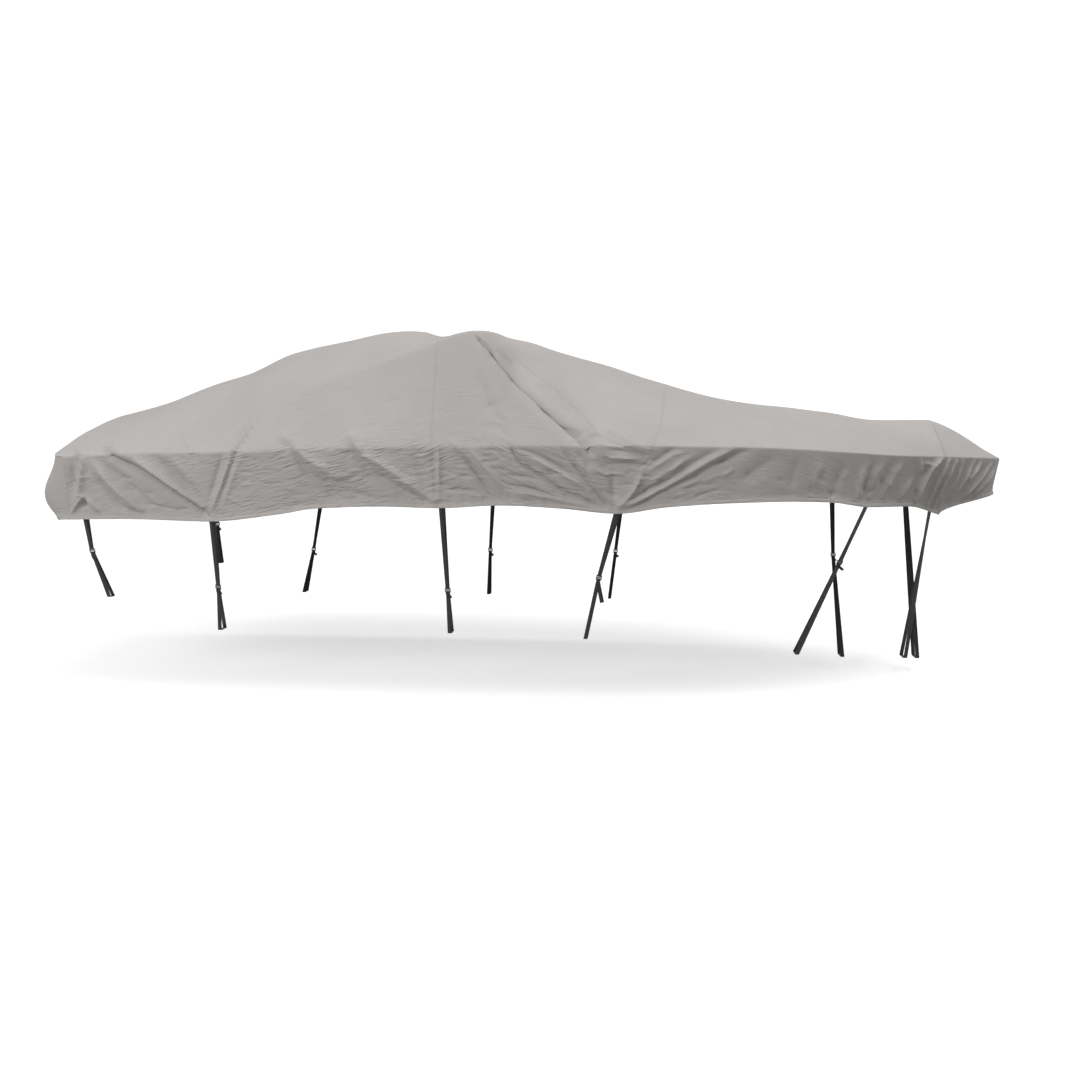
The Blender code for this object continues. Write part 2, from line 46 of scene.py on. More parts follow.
cover = {
    "clothThick": 0.0014,
    "hemThick": 0.0023,  # the hem is turned up once
    "hemTall": 0.020,  # height at which that thickness starts to thin out
    "hemTaper": 0.004,
    "lip": 0.35,  # how far a cut edge is rounded outwards, as a share of the thickness
    "sternX": -1.99,
    "cornerSeamX": -1.915,
    "cornerRadius": 0.075,
    "bowSeamX": 3.46,
    "crownPower": 1.4,  # how round the top is between ridge and shoulder
    "roundSteps": 9,
    "roundFall": 0.8,  # how much less the far ends of a rounding count than its middle
    "tautBelow": 1.6,  # only levels above this one are drawn tighter by the pole and windscreen
    "mapStartX": -2.03,  # the map of the cloth starts a little behind the stern
    "mapColumns": 550,
    "bowMapColumns": 80,
    "offRidge": 1e-6,  # a hair off the ridge keeps level nought on its own side
}

# ridge on the centreline, shoulder over windscreen and seats, edge over the rub rail
Station = namedtuple("Station", "x ridgeZ shoulderY shoulderZ railY railZ")
stations = [
    Station(-2.00, -0.562, 0.70, -0.708, 1.060, -0.840),
    Station(-1.64, -0.462, 0.79, -0.664, 1.090, -0.820),
    Station(-1.36, -0.356, 0.82, -0.613, 1.115, -0.812),
    Station(-1.11, -0.280, 0.84, -0.636, 1.130, -0.809),
    Station(-0.80, -0.143, 0.82, -0.528, 1.135, -0.802),
    Station(-0.40, -0.062, 0.81, -0.400, 1.135, -0.788),
    Station(-0.10, -0.003, 0.80, -0.300, 1.135, -0.780),
    Station(0.00, 0.002, 0.80, -0.258, 1.135, -0.778),
    Station(0.10, -0.002, 0.80, -0.222, 1.135, -0.776),
    Station(0.25, -0.038, 0.80, -0.178, 1.135, -0.773),
    Station(0.48, -0.014, 0.80, -0.094, 1.135, -0.770),
    Station(0.57, -0.012, 0.80, -0.080, 1.135, -0.770),
    Station(0.70, -0.052, 0.84, -0.190, 1.135, -0.769),
    Station(0.83, -0.080, 0.90, -0.370, 1.135, -0.769),
    Station(1.00, -0.137, 0.98, -0.500, 1.135, -0.768),
    Station(1.17, -0.187, 1.04, -0.635, 1.135, -0.768),
    Station(1.36, -0.240, 1.03, -0.690, 1.130, -0.767),
    Station(1.63, -0.332, 0.88, -0.640, 1.120, -0.767),
    Station(2.22, -0.482, 0.80, -0.672, 1.055, -0.775),
    Station(2.79, -0.553, 0.65, -0.722, 0.865, -0.804),
    Station(3.14, -0.604, 0.49, -0.752, 0.655, -0.828),
    Station(3.46, -0.606, 0.32, -0.755, 0.435, -0.840),
]

# the elastic hem: its height on each side and how far it lies inside the rail
HemSpot = namedtuple("HemSpot", "x starboardZ portZ tuck")
hemSpots = [
    HemSpot(-2.00, -1.222, -1.212, 0.050),
    HemSpot(-1.45, -1.211, -1.190, 0.045),
    HemSpot(-1.00, -1.220, -1.216, 0.042),
    HemSpot(-0.56, -1.174, -1.170, 0.040),
    HemSpot(-0.33, -1.137, -1.142, 0.040),
    HemSpot(0.07, -1.123, -1.128, 0.040),
    HemSpot(0.40, -1.130, -1.142, 0.040),
    HemSpot(0.78, -1.112, -1.118, 0.040),
    HemSpot(1.12, -1.127, -1.120, 0.040),
    HemSpot(1.45, -1.156, -1.150, 0.040),
    HemSpot(1.74, -1.118, -1.124, 0.040),
    HemSpot(2.04, -1.098, -1.102, 0.042),
    HemSpot(2.40, -1.088, -1.092, 0.045),
    HemSpot(2.70, -1.098, -1.100, 0.050),
    HemSpot(2.94, -1.133, -1.128, 0.065),
    HemSpot(3.23, -1.141, -1.136, 0.095),
    HemSpot(3.46, -1.203, -1.196, 0.125),
]

# how far each side of a level the corners at shoulder (1) and rail (2) are rounded
Rounding = namedtuple("Rounding", "level reach")
roundings = [
    Rounding(0.0, 0.0),
    Rounding(0.7, 0.2),
    Rounding(1.0, 0.25),
    Rounding(1.3, 0.2),
    Rounding(1.85, 0.04),
    Rounding(2.15, 0.04),
    Rounding(3.0, 0.0),
]

# how much of that rounding is left where the cloth is drawn tight over pole and windscreen
Tautness = namedtuple("Tautness", "x rounding")
tautness = [
    Tautness(-2.00, 0.80),
    Tautness(-1.50, 0.50),
    Tautness(-0.80, 0.38),
    Tautness(-0.30, 0.22),
    Tautness(0.56, 0.14),
    Tautness(0.90, 0.28),
    Tautness(1.25, 0.50),
    Tautness(1.60, 0.90),
]


def columnAt(rows, column, xs):
    rowXs = np.array([row.x for row in rows])
    values = np.array([getattr(row, column) for row in rows])
    beyond = np.maximum(xs - rowXs[-1], 0)
    xs = np.clip(xs, rowXs[0], rowXs[-1])
    steps = np.diff(rowXs)
    slopes = np.diff(values) / steps
    before, after = slopes[:-1], slopes[1:]
    sameWay = before * after > 0
    tangents = np.empty(len(rows))
    tangents[0], tangents[-1] = slopes[0], slopes[-1]
    tangents[1:-1] = np.where(sameWay, 2 * before * after / np.where(sameWay, before + after, 1), 0)
    i = np.clip(np.searchsorted(rowXs, xs) - 1, 0, len(rows) - 2)
    s = (xs - rowXs[i]) / steps[i]
    rise = values[i] * (1 + 2 * s) * (1 - s) ** 2 + values[i + 1] * s * s * (3 - 2 * s)
    rise = rise + steps[i] * (tangents[i] * s * (1 - s) ** 2 - tangents[i + 1] * s * s * (1 - s))
    return rise + tangents[-1] * beyond


def stack(*parts):
    return np.stack(np.broadcast_arrays(*parts), axis=-1)


def smooth(t):
    t = np.clip(t, 0, 1)
    return t * t * (3 - 2 * t)


def bodyKnots(xs, sides):  # ridge, shoulder, rail and hem of the section at each x
    railY = columnAt(stations, "railY", xs)
    hemZ = np.where(sides < 0, columnAt(hemSpots, "starboardZ", xs), columnAt(hemSpots, "portZ", xs))
    ridge = stack(xs, 0.0 * xs, columnAt(stations, "ridgeZ", xs))
    shoulder = stack(xs, sides * columnAt(stations, "shoulderY", xs), columnAt(stations, "shoulderZ", xs))
    rail = stack(xs, sides * railY, columnAt(stations, "railZ", xs))
    hem = stack(xs, sides * (railY - columnAt(hemSpots, "tuck", xs)), hemZ)
    return np.stack([ridge, shoulder, rail, hem], axis=-2)


def sharpPoint(knots, levels):
    first = np.clip(levels.astype(int), 0, 2)
    share = levels - first
    low = np.take_along_axis(knots, first[..., None, None], axis=-2)[..., 0, :]
    high = np.take_along_axis(knots, first[..., None, None] + 1, axis=-2)[..., 0, :]
    points = low + (high - low) * share[..., None]
    crownZ = knots[..., 0, 2] + (knots[..., 1, 2] - knots[..., 0, 2]) * share ** cover["crownPower"]
    points[..., 2] = np.where(first == 0, crownZ, points[..., 2])
    return points


def softPoint(knots, levels, taut=1.0):  # the same line with its corners rounded off
    reach = np.interp(levels, [r.level for r in roundings], [r.reach for r in roundings])
    reach = reach * np.where(levels < cover["tautBelow"], taut, 1.0)
    points = 0.0
    offsets = np.linspace(-1, 1, cover["roundSteps"])
    weights = 1 - cover["roundFall"] * offsets**2
    for offset, weight in zip(offsets, weights / weights.sum()):
        points = points + weight * sharpPoint(knots, np.clip(levels + offset * reach, 0, 3))
    return points


def bodyPoint(xs, signedLevels):  # minus levels are starboard, plus levels port
    xs, signedLevels = np.broadcast_arrays(np.asarray(xs, float), np.asarray(signedLevels, float))
    sides = np.where(signedLevels < 0, -1.0, 1.0)
    taut = np.interp(xs, [t.x for t in tautness], [t.rounding for t in tautness])
    return softPoint(bodyKnots(xs, sides), np.abs(signedLevels), taut)


bow = {
    "stemX": 3.925,
    "stemRailZ": -0.862,
    "stemHemZ": -1.09,
    "flareX": 0.16,
    "flareY": 0.12,
    "railNose": 0.10,
    "hemNose": 0.08,
    "hemSetback": 0.04,
    "hemRiseTurn": 0.87,
    "hemRisePower": 0.6,
}


def bowArc(seamPoint, tipX, nose, turns, sides):
    start = seamPoint[..., :2]
    tip = stack(tipX + 0 * turns, 0 * turns)
    lead = start + stack(bow["flareX"] + 0 * turns, -sides * bow["flareY"])
    nosePoint = tip + stack(0 * turns, sides * nose)
    s = turns[..., None]
    return start * (1 - s) ** 3 + lead * 3 * s * (1 - s) ** 2 + nosePoint * 3 * s * s * (1 - s) + tip * s**3


def bowPoint(turns, signedLevels):  # turn runs from 0 at the bow seam to 1 at the stem
    turns, signedLevels = np.broadcast_arrays(np.asarray(turns, float), np.asarray(signedLevels, float))
    sides = np.where(signedLevels < 0, -1.0, 1.0)
    seam = bodyKnots(cover["bowSeamX"] + 0 * turns, sides)
    ridge, shoulder, rail, hem = (seam[..., k, :] for k in range(4))
    railPlan = bowArc(rail, bow["stemX"], bow["railNose"], turns, sides)
    hemPlan = bowArc(hem, bow["stemX"] - bow["hemSetback"], bow["hemNose"], turns, sides)
    railZ = rail[..., 2] + (bow["stemRailZ"] - rail[..., 2]) * turns
    lift = np.minimum(turns / bow["hemRiseTurn"], 1) ** bow["hemRisePower"]
    hemZ = hem[..., 2] + (bow["stemHemZ"] - hem[..., 2]) * lift
    partWay = shoulder[..., 1] / rail[..., 1]
    fall = (shoulder[..., 2] - ridge[..., 2]) / (rail[..., 2] - ridge[..., 2])
    fall = fall + (partWay - fall) * turns
    shoulderPlan = ridge[..., :2] + (railPlan - ridge[..., :2]) * partWay[..., None]
    shoulderZ = ridge[..., 2] + (railZ - ridge[..., 2]) * fall
    knots = np.stack([
        ridge,
        stack(shoulderPlan[..., 0], shoulderPlan[..., 1], shoulderZ),
        stack(railPlan[..., 0], railPlan[..., 1], railZ),
        stack(hemPlan[..., 0], hemPlan[..., 1], hemZ),
    ], axis=-2)
    return softPoint(knots, np.abs(signedLevels))


# a width of cloth is mapped by its run, measured along the rail, and its girth, down from the ridge
rowsPerLevel = 40
railRow, hemEdgeRow = 2 * rowsPerLevel, 3 * rowsPerLevel


class ClothMap:
    def __init__(self, pointAt, low, high, steps, startRun):
        self.low, self.high = low, high
        self.us = np.linspace(low, high, steps)
        self.levels = np.linspace(0, 3, hemEdgeRow + 1)
        self.girths, self.points = {}, {}
        for side in (starboard, port):
            levels = side * np.maximum(self.levels, cover["offRidge"])
            points = pointAt(self.us[:, None], levels[None, :])
            lengths = np.linalg.norm(np.diff(points, axis=1), axis=-1)
            self.girths[side] = np.concatenate([np.zeros((steps, 1)), np.cumsum(lengths, axis=1)], axis=1)
            self.points[side] = points
        rail = self.points[starboard][:, railRow]
        legs = np.linalg.norm(np.diff(rail, axis=0), axis=-1)
        self.runs = startRun + np.concatenate([[0], np.cumsum(legs)])

    def runAt(self, us):
        return np.interp(us, self.us, self.runs)

    def girthAt(self, us, signedLevels):  # minus to starboard
        us, signedLevels = np.broadcast_arrays(us, signedLevels)
        i = np.clip((us - self.low) / (self.high - self.low), 0, 1) * (len(self.us) - 1)
        j = np.clip(np.abs(signedLevels) / 3, 0, 1) * (len(self.levels) - 1)
        i0 = np.minimum(i.astype(int), len(self.us) - 2)
        j0 = np.minimum(j.astype(int), len(self.levels) - 2)
        a, b = i - i0, j - j0
        total = 0.0
        for side, girths in self.girths.items():
            near = girths[i0, j0] * (1 - b) + girths[i0, j0 + 1] * b
            far = girths[i0 + 1, j0] * (1 - b) + girths[i0 + 1, j0 + 1] * b
            onSide = (signedLevels < 0) if side < 0 else (signedLevels >= 0)
            total = total + np.where(onSide, side * (near * (1 - a) + far * a), 0)
        return total

    def skirtDrop(self, us, side):  # how far it is down the cloth from rail to hem
        return np.interp(us, self.us, self.girths[side][:, hemEdgeRow] - self.girths[side][:, railRow])

    def aboveHem(self, us, signedLevels):  # how far it is down the cloth from a place to the hem
        drops = np.where(signedLevels < 0, self.skirtDrop(us, starboard), self.skirtDrop(us, port))
        return (3 - np.abs(signedLevels)) * drops

    def spot(self, side, x, z):  # run, and girth below the ridge as a minus, of a place on one side
        gaps = (self.points[side][..., 0] - x) ** 2 + (self.points[side][..., 2] - z) ** 2
        i, j = np.unravel_index(np.argmin(gaps), gaps.shape)
        return np.array([self.runs[i], -self.girths[side][i, j]])


sternStart = cover["mapStartX"]
bodyMap = ClothMap(bodyPoint, sternStart, cover["bowSeamX"], cover["mapColumns"], sternStart)
bowMap = ClothMap(bowPoint, 0.0, 1.0, cover["bowMapColumns"], float(bodyMap.runs[-1]))
print("cloth map:", round(float(bowMap.runs[-1] - sternStart), 2), "m along the rail")


def spotOn(side, x, z):
    return (bodyMap if x <= cover["bowSeamX"] else bowMap).spot(side, x, z)


# folds, each a soft crest (a trough below nought) along a bent line on one side of the cover
# bend is the sag of the line to its left, as a share of its length; start and end are how strong
# it still is at its two ends; a fold that starts where the one before it ends runs on from it

Fold = namedtuple("Fold", "side x1 z1 x2 z2 bend width height start end")
foldRows = {
    starboard: [
        # stern skirt, drawn to the second strap
        (-1.50, -0.82, -1.03, -1.14, 0.03, 0.028, 0.018, 0.2, 0.5),
        (-1.59, -0.83, -1.11, -1.11, 0.03, 0.020, -0.018, 0.3, 1.0),
        (-1.11, -1.11, -1.00, -1.19, 0.00, 0.018, -0.015, 1.0, 0.4),
        (-1.67, -0.74, -1.56, -0.83, 0.00, 0.024, 0.007, 0.0, 0.6),
        (-1.72, -0.86, -1.42, -1.16, -0.02, 0.030, 0.016, 0.2, 0.4),
        (-1.71, -0.95, -1.55, -1.15, -0.02, 0.018, -0.014, 0.3, 0.6),
        (-1.68, -0.85, -1.37, -1.13, 0.01, 0.028, -0.013, 0.2, 0.4),
        (-1.31, -0.83, -1.06, -1.09, 0.05, 0.024, -0.010, 0.3, 0.3),
        (-1.22, -0.82, -1.04, -1.06, 0.05, 0.024, 0.007, 0.2, 0.3),
        (-1.23, -0.68, -1.04, -0.91, 0.08, 0.026, -0.007, 0.0, 0.2),
        (-1.77, -0.84, -1.83, -1.07, 0.02, 0.026, 0.011, 0.4, 0.5),
        (-1.85, -0.87, -1.87, -1.06, 0.00, 0.034, -0.010, 0.3, 0.4),
        (-1.80, -1.08, -1.89, -1.18, -0.04, 0.013, 0.010, 0.6, 0.4),
        (-1.80, -1.08, -1.69, -1.19, 0.03, 0.015, 0.010, 0.6, 0.3),
        (-1.80, -1.10, -1.80, -1.16, 0.00, 0.028, -0.010, 0.7, 0.0),
        # small creases near the stern hem
        (-1.42, -1.125, -1.24, -1.145, 0.03, 0.012, -0.004, 0.3, 1.0),
        (-1.24, -1.145, -1.11, -1.150, -0.03, 0.011, -0.004, 1.0, 0.2),
        (-1.39, -1.060, -1.33, -1.125, -0.10, 0.012, -0.004, 0.2, 0.4),
        (-1.36, -1.075, -1.28, -1.120, -0.10, 0.012, 0.004, 0.2, 0.3),
        (-1.61, -1.105, -1.53, -1.150, -0.05, 0.012, -0.004, 0.2, 0.4),
        (-1.52, -1.150, -1.43, -1.185, 0.02, 0.012, -0.004, 0.2, 0.4),
        # short streaks over the stern rail
        (-1.75, -0.75, -1.44, -0.87, 0.02, 0.016, 0.006, 0.2, 0.2),
        (-1.69, -0.78, -1.48, -0.88, 0.02, 0.013, -0.007, 0.2, 0.4),
        (-1.92, -0.76, -1.76, -0.87, 0.03, 0.013, 0.006, 0.2, 0.3),
        (-1.26, -0.67, -1.11, -0.81, 0.03, 0.014, 0.005, 0.1, 0.2),
        # double fold from the seat corner to the second strap
        (-0.78, -0.54, -0.86, -0.78, 0.02, 0.012, -0.004, 0.2, 0.4),
        (-0.87, -0.80, -0.99, -1.12, 0.00, 0.024, -0.006, 0.3, 0.1),
        (-0.77, -0.58, -0.83, -0.84, 0.02, 0.015, 0.004, 0.0, 1.0),
        (-0.83, -0.84, -0.97, -1.16, 0.02, 0.016, 0.007, 1.0, 0.3),
        (-0.74, -0.55, -0.80, -0.82, 0.02, 0.014, -0.005, 0.2, 1.0),
        (-0.80, -0.82, -0.92, -1.10, 0.01, 0.014, -0.003, 1.0, 0.1),
        (-0.75, -0.80, -0.90, -1.14, 0.01, 0.020, 0.004, 0.2, 0.3),
        # rolls on the quarter
        (-0.56, -0.67, -0.40, -0.82, -0.02, 0.034, 0.012, 0.0, 1.0),
        (-0.40, -0.82, -0.12, -0.99, 0.00, 0.042, 0.013, 1.0, 0.0),
        (-0.51, -0.73, -0.37, -0.93, 0.02, 0.034, -0.014, 0.0, 1.0),
        (-0.37, -0.93, -0.17, -1.10, 0.00, 0.030, -0.014, 1.0, 0.3),
        (-0.13, -0.67, -0.03, -0.82, -0.04, 0.028, 0.012, 0.0, 1.0),
        (-0.03, -0.82, 0.38, -1.09, 0.03, 0.032, 0.014, 1.0, 0.4),
        (-0.11, -0.74, 0.02, -0.93, -0.04, 0.030, -0.011, 0.2, 1.0),
        (0.02, -0.93, 0.33, -1.10, -0.02, 0.030, -0.013, 1.0, 0.4),
        (-0.12, -1.03, 0.04, -1.09, 0.03, 0.018, -0.006, 0.2, 0.3),
        (-0.53, -1.13, -0.28, -1.12, 0.03, 0.012, -0.005, 0.2, 0.2),
        (0.27, -0.77, 0.37, -1.10, -0.03, 0.040, -0.004, 0.2, 0.5),
        (0.42, -0.66, 0.41, -1.09, 0.00, 0.016, 0.006, 0.0, 0.4),
        (0.51, -0.76, 0.76, -1.07, -0.03, 0.028, -0.012, 0.2, 0.3),
        (0.46, -0.71, 0.63, -0.88, -0.02, 0.022, 0.007, 0.0, 0.0),
        (0.58, -0.76, 0.80, -1.02, -0.02, 0.030, 0.008, 0.0, 0.2),
        (0.44, -1.02, 0.64, -1.06, 0.06, 0.014, -0.005, 0.2, 0.2),
        # from the pole down over the windscreen
        (0.58, -0.09, 0.69, -0.17, 0.00, 0.014, 0.004, 0.2, 1.0),
        (0.69, -0.17, 0.80, -0.26, 0.00, 0.022, 0.006, 1.0, 1.0),
        (0.80, -0.26, 0.95, -0.38, 0.00, 0.030, 0.009, 1.0, 1.0),
        (0.95, -0.38, 1.16, -0.55, 0.00, 0.038, 0.014, 1.0, 1.0),
        (1.16, -0.55, 1.31, -0.71, 0.02, 0.040, 0.011, 1.0, 1.0),
        (1.31, -0.71, 1.39, -0.85, 0.05, 0.034, 0.006, 1.0, 0.0),
        (0.58, -0.10, 0.68, -0.20, 0.00, 0.024, -0.012, 0.2, 1.0),
        (0.68, -0.20, 0.81, -0.34, 0.00, 0.034, -0.017, 1.0, 1.0),
        (0.81, -0.34, 1.02, -0.54, 0.00, 0.042, -0.021, 1.0, 1.0),
        (1.02, -0.54, 1.22, -0.70, 0.00, 0.040, -0.020, 1.0, 1.0),
        (1.22, -0.70, 1.31, -0.84, 0.06, 0.032, -0.015, 1.0, 0.1),
        (0.60, -0.30, 0.80, -0.72, -0.03, 0.040, -0.004, 0.0, 0.2),
        (0.67, -0.32, 0.88, -0.74, -0.03, 0.035, 0.003, 0.0, 0.2),
        (0.84, -0.26, 1.33, -0.44, 0.00, 0.040, 0.003, 0.0, 1.0),
        (1.33, -0.44, 1.70, -0.62, 0.00, 0.040, 0.003, 1.0, 0.0),
        (1.20, -0.80, 1.33, -0.90, 0.00, 0.040, -0.006, 0.2, 0.4),
        (1.30, -0.64, 1.61, -0.80, 0.04, 0.028, 0.006, 0.0, 0.4),
        (1.34, -0.71, 1.61, -0.82, 0.02, 0.022, -0.006, 0.2, 0.5),
        # middle skirt, drawn to the fourth strap
        (0.83, -0.76, 0.91, -0.88, -0.03, 0.016, -0.008, 0.3, 1.0),
        (0.91, -0.88, 1.17, -1.04, 0.02, 0.018, -0.010, 1.0, 1.0),
        (1.17, -1.04, 1.39, -1.13, 0.00, 0.016, -0.008, 1.0, 0.3),
        (0.88, -0.80, 1.30, -1.02, 0.02, 0.026, 0.010, 0.1, 0.3),
        (0.89, -0.79, 1.27, -0.98, 0.06, 0.020, -0.009, 0.2, 0.2),
        (1.12, -0.76, 1.35, -1.05, 0.01, 0.020, -0.009, 0.2, 1.0),
        (1.35, -1.05, 1.42, -1.12, 0.00, 0.018, -0.009, 1.0, 0.4),
        (1.17, -0.78, 1.40, -1.09, 0.03, 0.020, 0.008, 0.1, 0.3),
        (0.80, -0.98, 1.09, -1.06, 0.03, 0.014, -0.007, 0.3, 0.3),
        (0.82, -0.93, 1.04, -0.98, 0.02, 0.013, -0.006, 0.3, 0.2),
        (0.81, -1.03, 1.30, -1.12, 0.03, 0.020, 0.006, 0.2, 0.2),
        (1.43, -0.92, 1.44, -1.10, 0.00, 0.036, -0.008, 0.5, 0.1),
        (1.28, -0.87, 1.38, -0.93, 0.00, 0.012, 0.006, 0.2, 1.0),
        (1.38, -0.93, 1.49, -0.93, 0.05, 0.012, 0.006, 1.0, 0.2),
        (1.60, -0.89, 1.46, -1.12, 0.08, 0.020, 0.009, 0.2, 0.5),
        (1.39, -0.79, 1.62, -0.82, 0.02, 0.015, -0.006, 0.2, 0.6),
        (1.38, -0.87, 1.62, -0.88, 0.02, 0.015, -0.006, 0.2, 0.5),
        (1.40, -0.83, 1.61, -0.85, 0.02, 0.015, 0.006, 0.2, 0.5),
        # fore skirt
        (1.48, -1.13, 1.89, -0.90, -0.01, 0.028, 0.011, 0.5, 1.0),
        (1.89, -0.90, 2.14, -0.77, 0.00, 0.032, 0.010, 1.0, 0.1),
        (1.50, -1.15, 1.89, -0.94, 0.01, 0.020, -0.008, 0.4, 1.0),
        (1.89, -0.94, 2.24, -0.78, 0.03, 0.028, -0.008, 1.0, 0.1),
        (1.50, -1.09, 1.79, -0.93, 0.00, 0.020, -0.009, 0.3, 1.0),
        (1.79, -0.93, 2.04, -0.78, 0.00, 0.024, -0.007, 1.0, 0.1),
        (1.60, -1.00, 1.90, -0.81, 0.00, 0.024, 0.007, 0.2, 0.1),
        (1.64, -0.88, 1.80, -0.77, 0.04, 0.020, -0.008, 0.3, 0.1),
        (1.62, -0.92, 1.86, -0.79, 0.04, 0.018, 0.005, 0.2, 0.1),
        (2.13, -1.00, 2.38, -0.82, 0.03, 0.050, -0.005, 0.1, 0.1),
        (2.49, -0.83, 2.44, -1.04, 0.03, 0.044, -0.004, 0.2, 0.1),
        (2.64, -0.83, 2.57, -1.04, 0.03, 0.044, 0.004, 0.2, 0.1),
        (2.78, -0.85, 2.70, -1.05, 0.03, 0.040, -0.004, 0.2, 0.1),
        # towards the bow
        (2.92, -0.88, 2.87, -1.09, -0.04, 0.018, 0.008, 0.2, 0.5),
        (3.04, -0.86, 2.94, -1.08, -0.04, 0.020, 0.006, 0.1, 0.3),
        (2.98, -0.86, 2.91, -1.07, -0.04, 0.022, -0.005, 0.1, 0.3),
        (3.17, -0.86, 3.04, -1.08, -0.03, 0.018, 0.007, 0.1, 0.3),
        (3.11, -0.86, 3.00, -1.08, -0.03, 0.022, -0.005, 0.1, 0.3),
        (3.28, -0.85, 3.29, -0.93, 0.04, 0.016, 0.008, 0.3, 0.5),
        (3.31, -0.88, 3.38, -0.89, 0.04, 0.012, 0.005, 0.3, 0.3),
        (3.24, -0.97, 3.16, -1.10, -0.02, 0.015, 0.009, 0.3, 0.5),
        (3.44, -0.85, 3.34, -0.95, -0.06, 0.012, 0.014, 0.4, 1.0),
        (3.34, -0.95, 3.28, -1.12, -0.03, 0.012, 0.015, 1.0, 0.5),
        (3.49, -0.86, 3.37, -1.14, -0.04, 0.012, 0.015, 0.4, 0.6),
        (3.55, -0.87, 3.42, -1.15, -0.05, 0.012, 0.014, 0.4, 0.6),
        (3.60, -0.87, 3.47, -1.10, 0.05, 0.013, 0.013, 0.3, 0.3),
        (3.69, -0.87, 3.53, -1.11, 0.03, 0.013, 0.013, 0.3, 0.3),
        (3.75, -0.88, 3.62, -1.02, 0.00, 0.012, 0.013, 0.3, 0.2),
        (3.83, -0.89, 3.61, -1.12, 0.03, 0.013, 0.013, 0.3, 0.3),
        (3.88, -0.92, 3.68, -1.10, 0.03, 0.012, 0.013, 0.3, 0.3),
    ],
    port: [
        (-1.54, -0.83, -1.06, -1.13, 0.02, 0.036, 0.014, 0.2, 0.5),
        (-1.62, -0.85, -1.04, -1.17, 0.04, 0.026, -0.014, 0.2, 0.5),
        (-1.76, -0.88, -1.46, -1.18, -0.06, 0.036, 0.011, 0.2, 0.4),
        (-1.70, -0.96, -1.55, -1.17, -0.04, 0.024, -0.010, 0.3, 0.5),
        (-1.30, -0.82, -1.08, -1.08, 0.05, 0.026, -0.009, 0.3, 0.3),
        (-1.84, -0.86, -1.86, -1.12, 0.00, 0.030, -0.008, 0.3, 0.4),
        (-0.80, -0.54, -0.86, -0.85, 0.03, 0.034, -0.006, 0.0, 1.0),
        (-0.86, -0.85, -0.97, -1.13, 0.02, 0.034, -0.008, 1.0, 0.1),
        (-0.74, -0.58, -0.95, -1.17, 0.05, 0.019, 0.010, 0.0, 0.5),
        (-0.69, -0.58, -0.90, -1.14, 0.04, 0.019, -0.010, 0.1, 0.5),
        (-0.54, -0.70, -0.14, -1.02, 0.00, 0.040, 0.013, 0.0, 0.1),
        (-0.52, -0.78, -0.12, -1.11, -0.05, 0.034, -0.013, 0.1, 0.3),
        (-0.14, -0.72, 0.36, -1.09, 0.04, 0.034, 0.014, 0.0, 0.4),
        (-0.14, -0.80, 0.34, -1.11, -0.08, 0.032, -0.012, 0.1, 0.4),
        (0.48, -0.78, 0.74, -1.06, -0.02, 0.034, -0.012, 0.2, 0.3),
        (0.56, -0.76, 0.82, -1.03, -0.02, 0.036, 0.009, 0.0, 0.2),
        (0.58, -0.08, 1.04, -0.49, 0.00, 0.030, 0.008, 0.3, 1.0),
        (1.04, -0.49, 1.34, -0.80, 0.03, 0.036, 0.009, 1.0, 0.1),
        (0.58, -0.10, 1.00, -0.55, 0.00, 0.022, -0.006, 0.3, 1.0),
        (1.00, -0.55, 1.28, -0.84, 0.04, 0.025, -0.008, 1.0, 0.1),
        (0.86, -0.78, 1.38, -1.12, 0.03, 0.018, -0.010, 0.3, 0.4),
        (0.92, -0.78, 1.32, -1.02, 0.04, 0.026, 0.009, 0.1, 0.3),
        (1.14, -0.78, 1.41, -1.11, 0.02, 0.022, -0.011, 0.2, 0.4),
        (1.44, -0.92, 1.44, -1.10, 0.00, 0.036, -0.007, 0.5, 0.1),
        (1.49, -1.12, 1.90, -0.89, 0.01, 0.030, 0.015, 0.5, 1.0),
        (1.90, -0.89, 2.10, -0.77, 0.00, 0.034, 0.013, 1.0, 0.1),
        (1.52, -1.13, 1.92, -0.93, 0.01, 0.022, -0.012, 0.4, 1.0),
        (1.92, -0.93, 2.20, -0.79, 0.02, 0.030, -0.011, 1.0, 0.1),
        (1.52, -1.06, 1.98, -0.78, 0.00, 0.024, -0.009, 0.3, 0.1),
        (2.50, -0.83, 2.47, -1.04, 0.03, 0.044, -0.008, 0.2, 0.1),
        (2.86, -0.86, 2.82, -1.08, 0.03, 0.028, 0.008, 0.1, 0.4),
        (3.10, -0.86, 3.00, -1.08, -0.03, 0.026, 0.009, 0.1, 0.4),
        (3.04, -0.86, 2.95, -1.08, -0.03, 0.028, -0.008, 0.1, 0.4),
        (3.30, -0.85, 3.18, -1.10, -0.03, 0.018, 0.010, 0.2, 0.4),
        (3.43, -0.85, 3.30, -1.12, -0.05, 0.015, 0.010, 0.3, 0.5),
        (3.52, -0.86, 3.39, -1.14, -0.04, 0.014, 0.010, 0.3, 0.5),
        (3.62, -0.87, 3.46, -1.12, 0.03, 0.013, 0.009, 0.3, 0.3),
        (3.72, -0.88, 3.56, -1.10, 0.03, 0.013, 0.009, 0.3, 0.3),
        (3.83, -0.90, 3.66, -1.09, 0.03, 0.012, 0.008, 0.3, 0.3),
    ],
}
folds = [Fold(side, *row) for side, rows in foldRows.items() for row in rows]

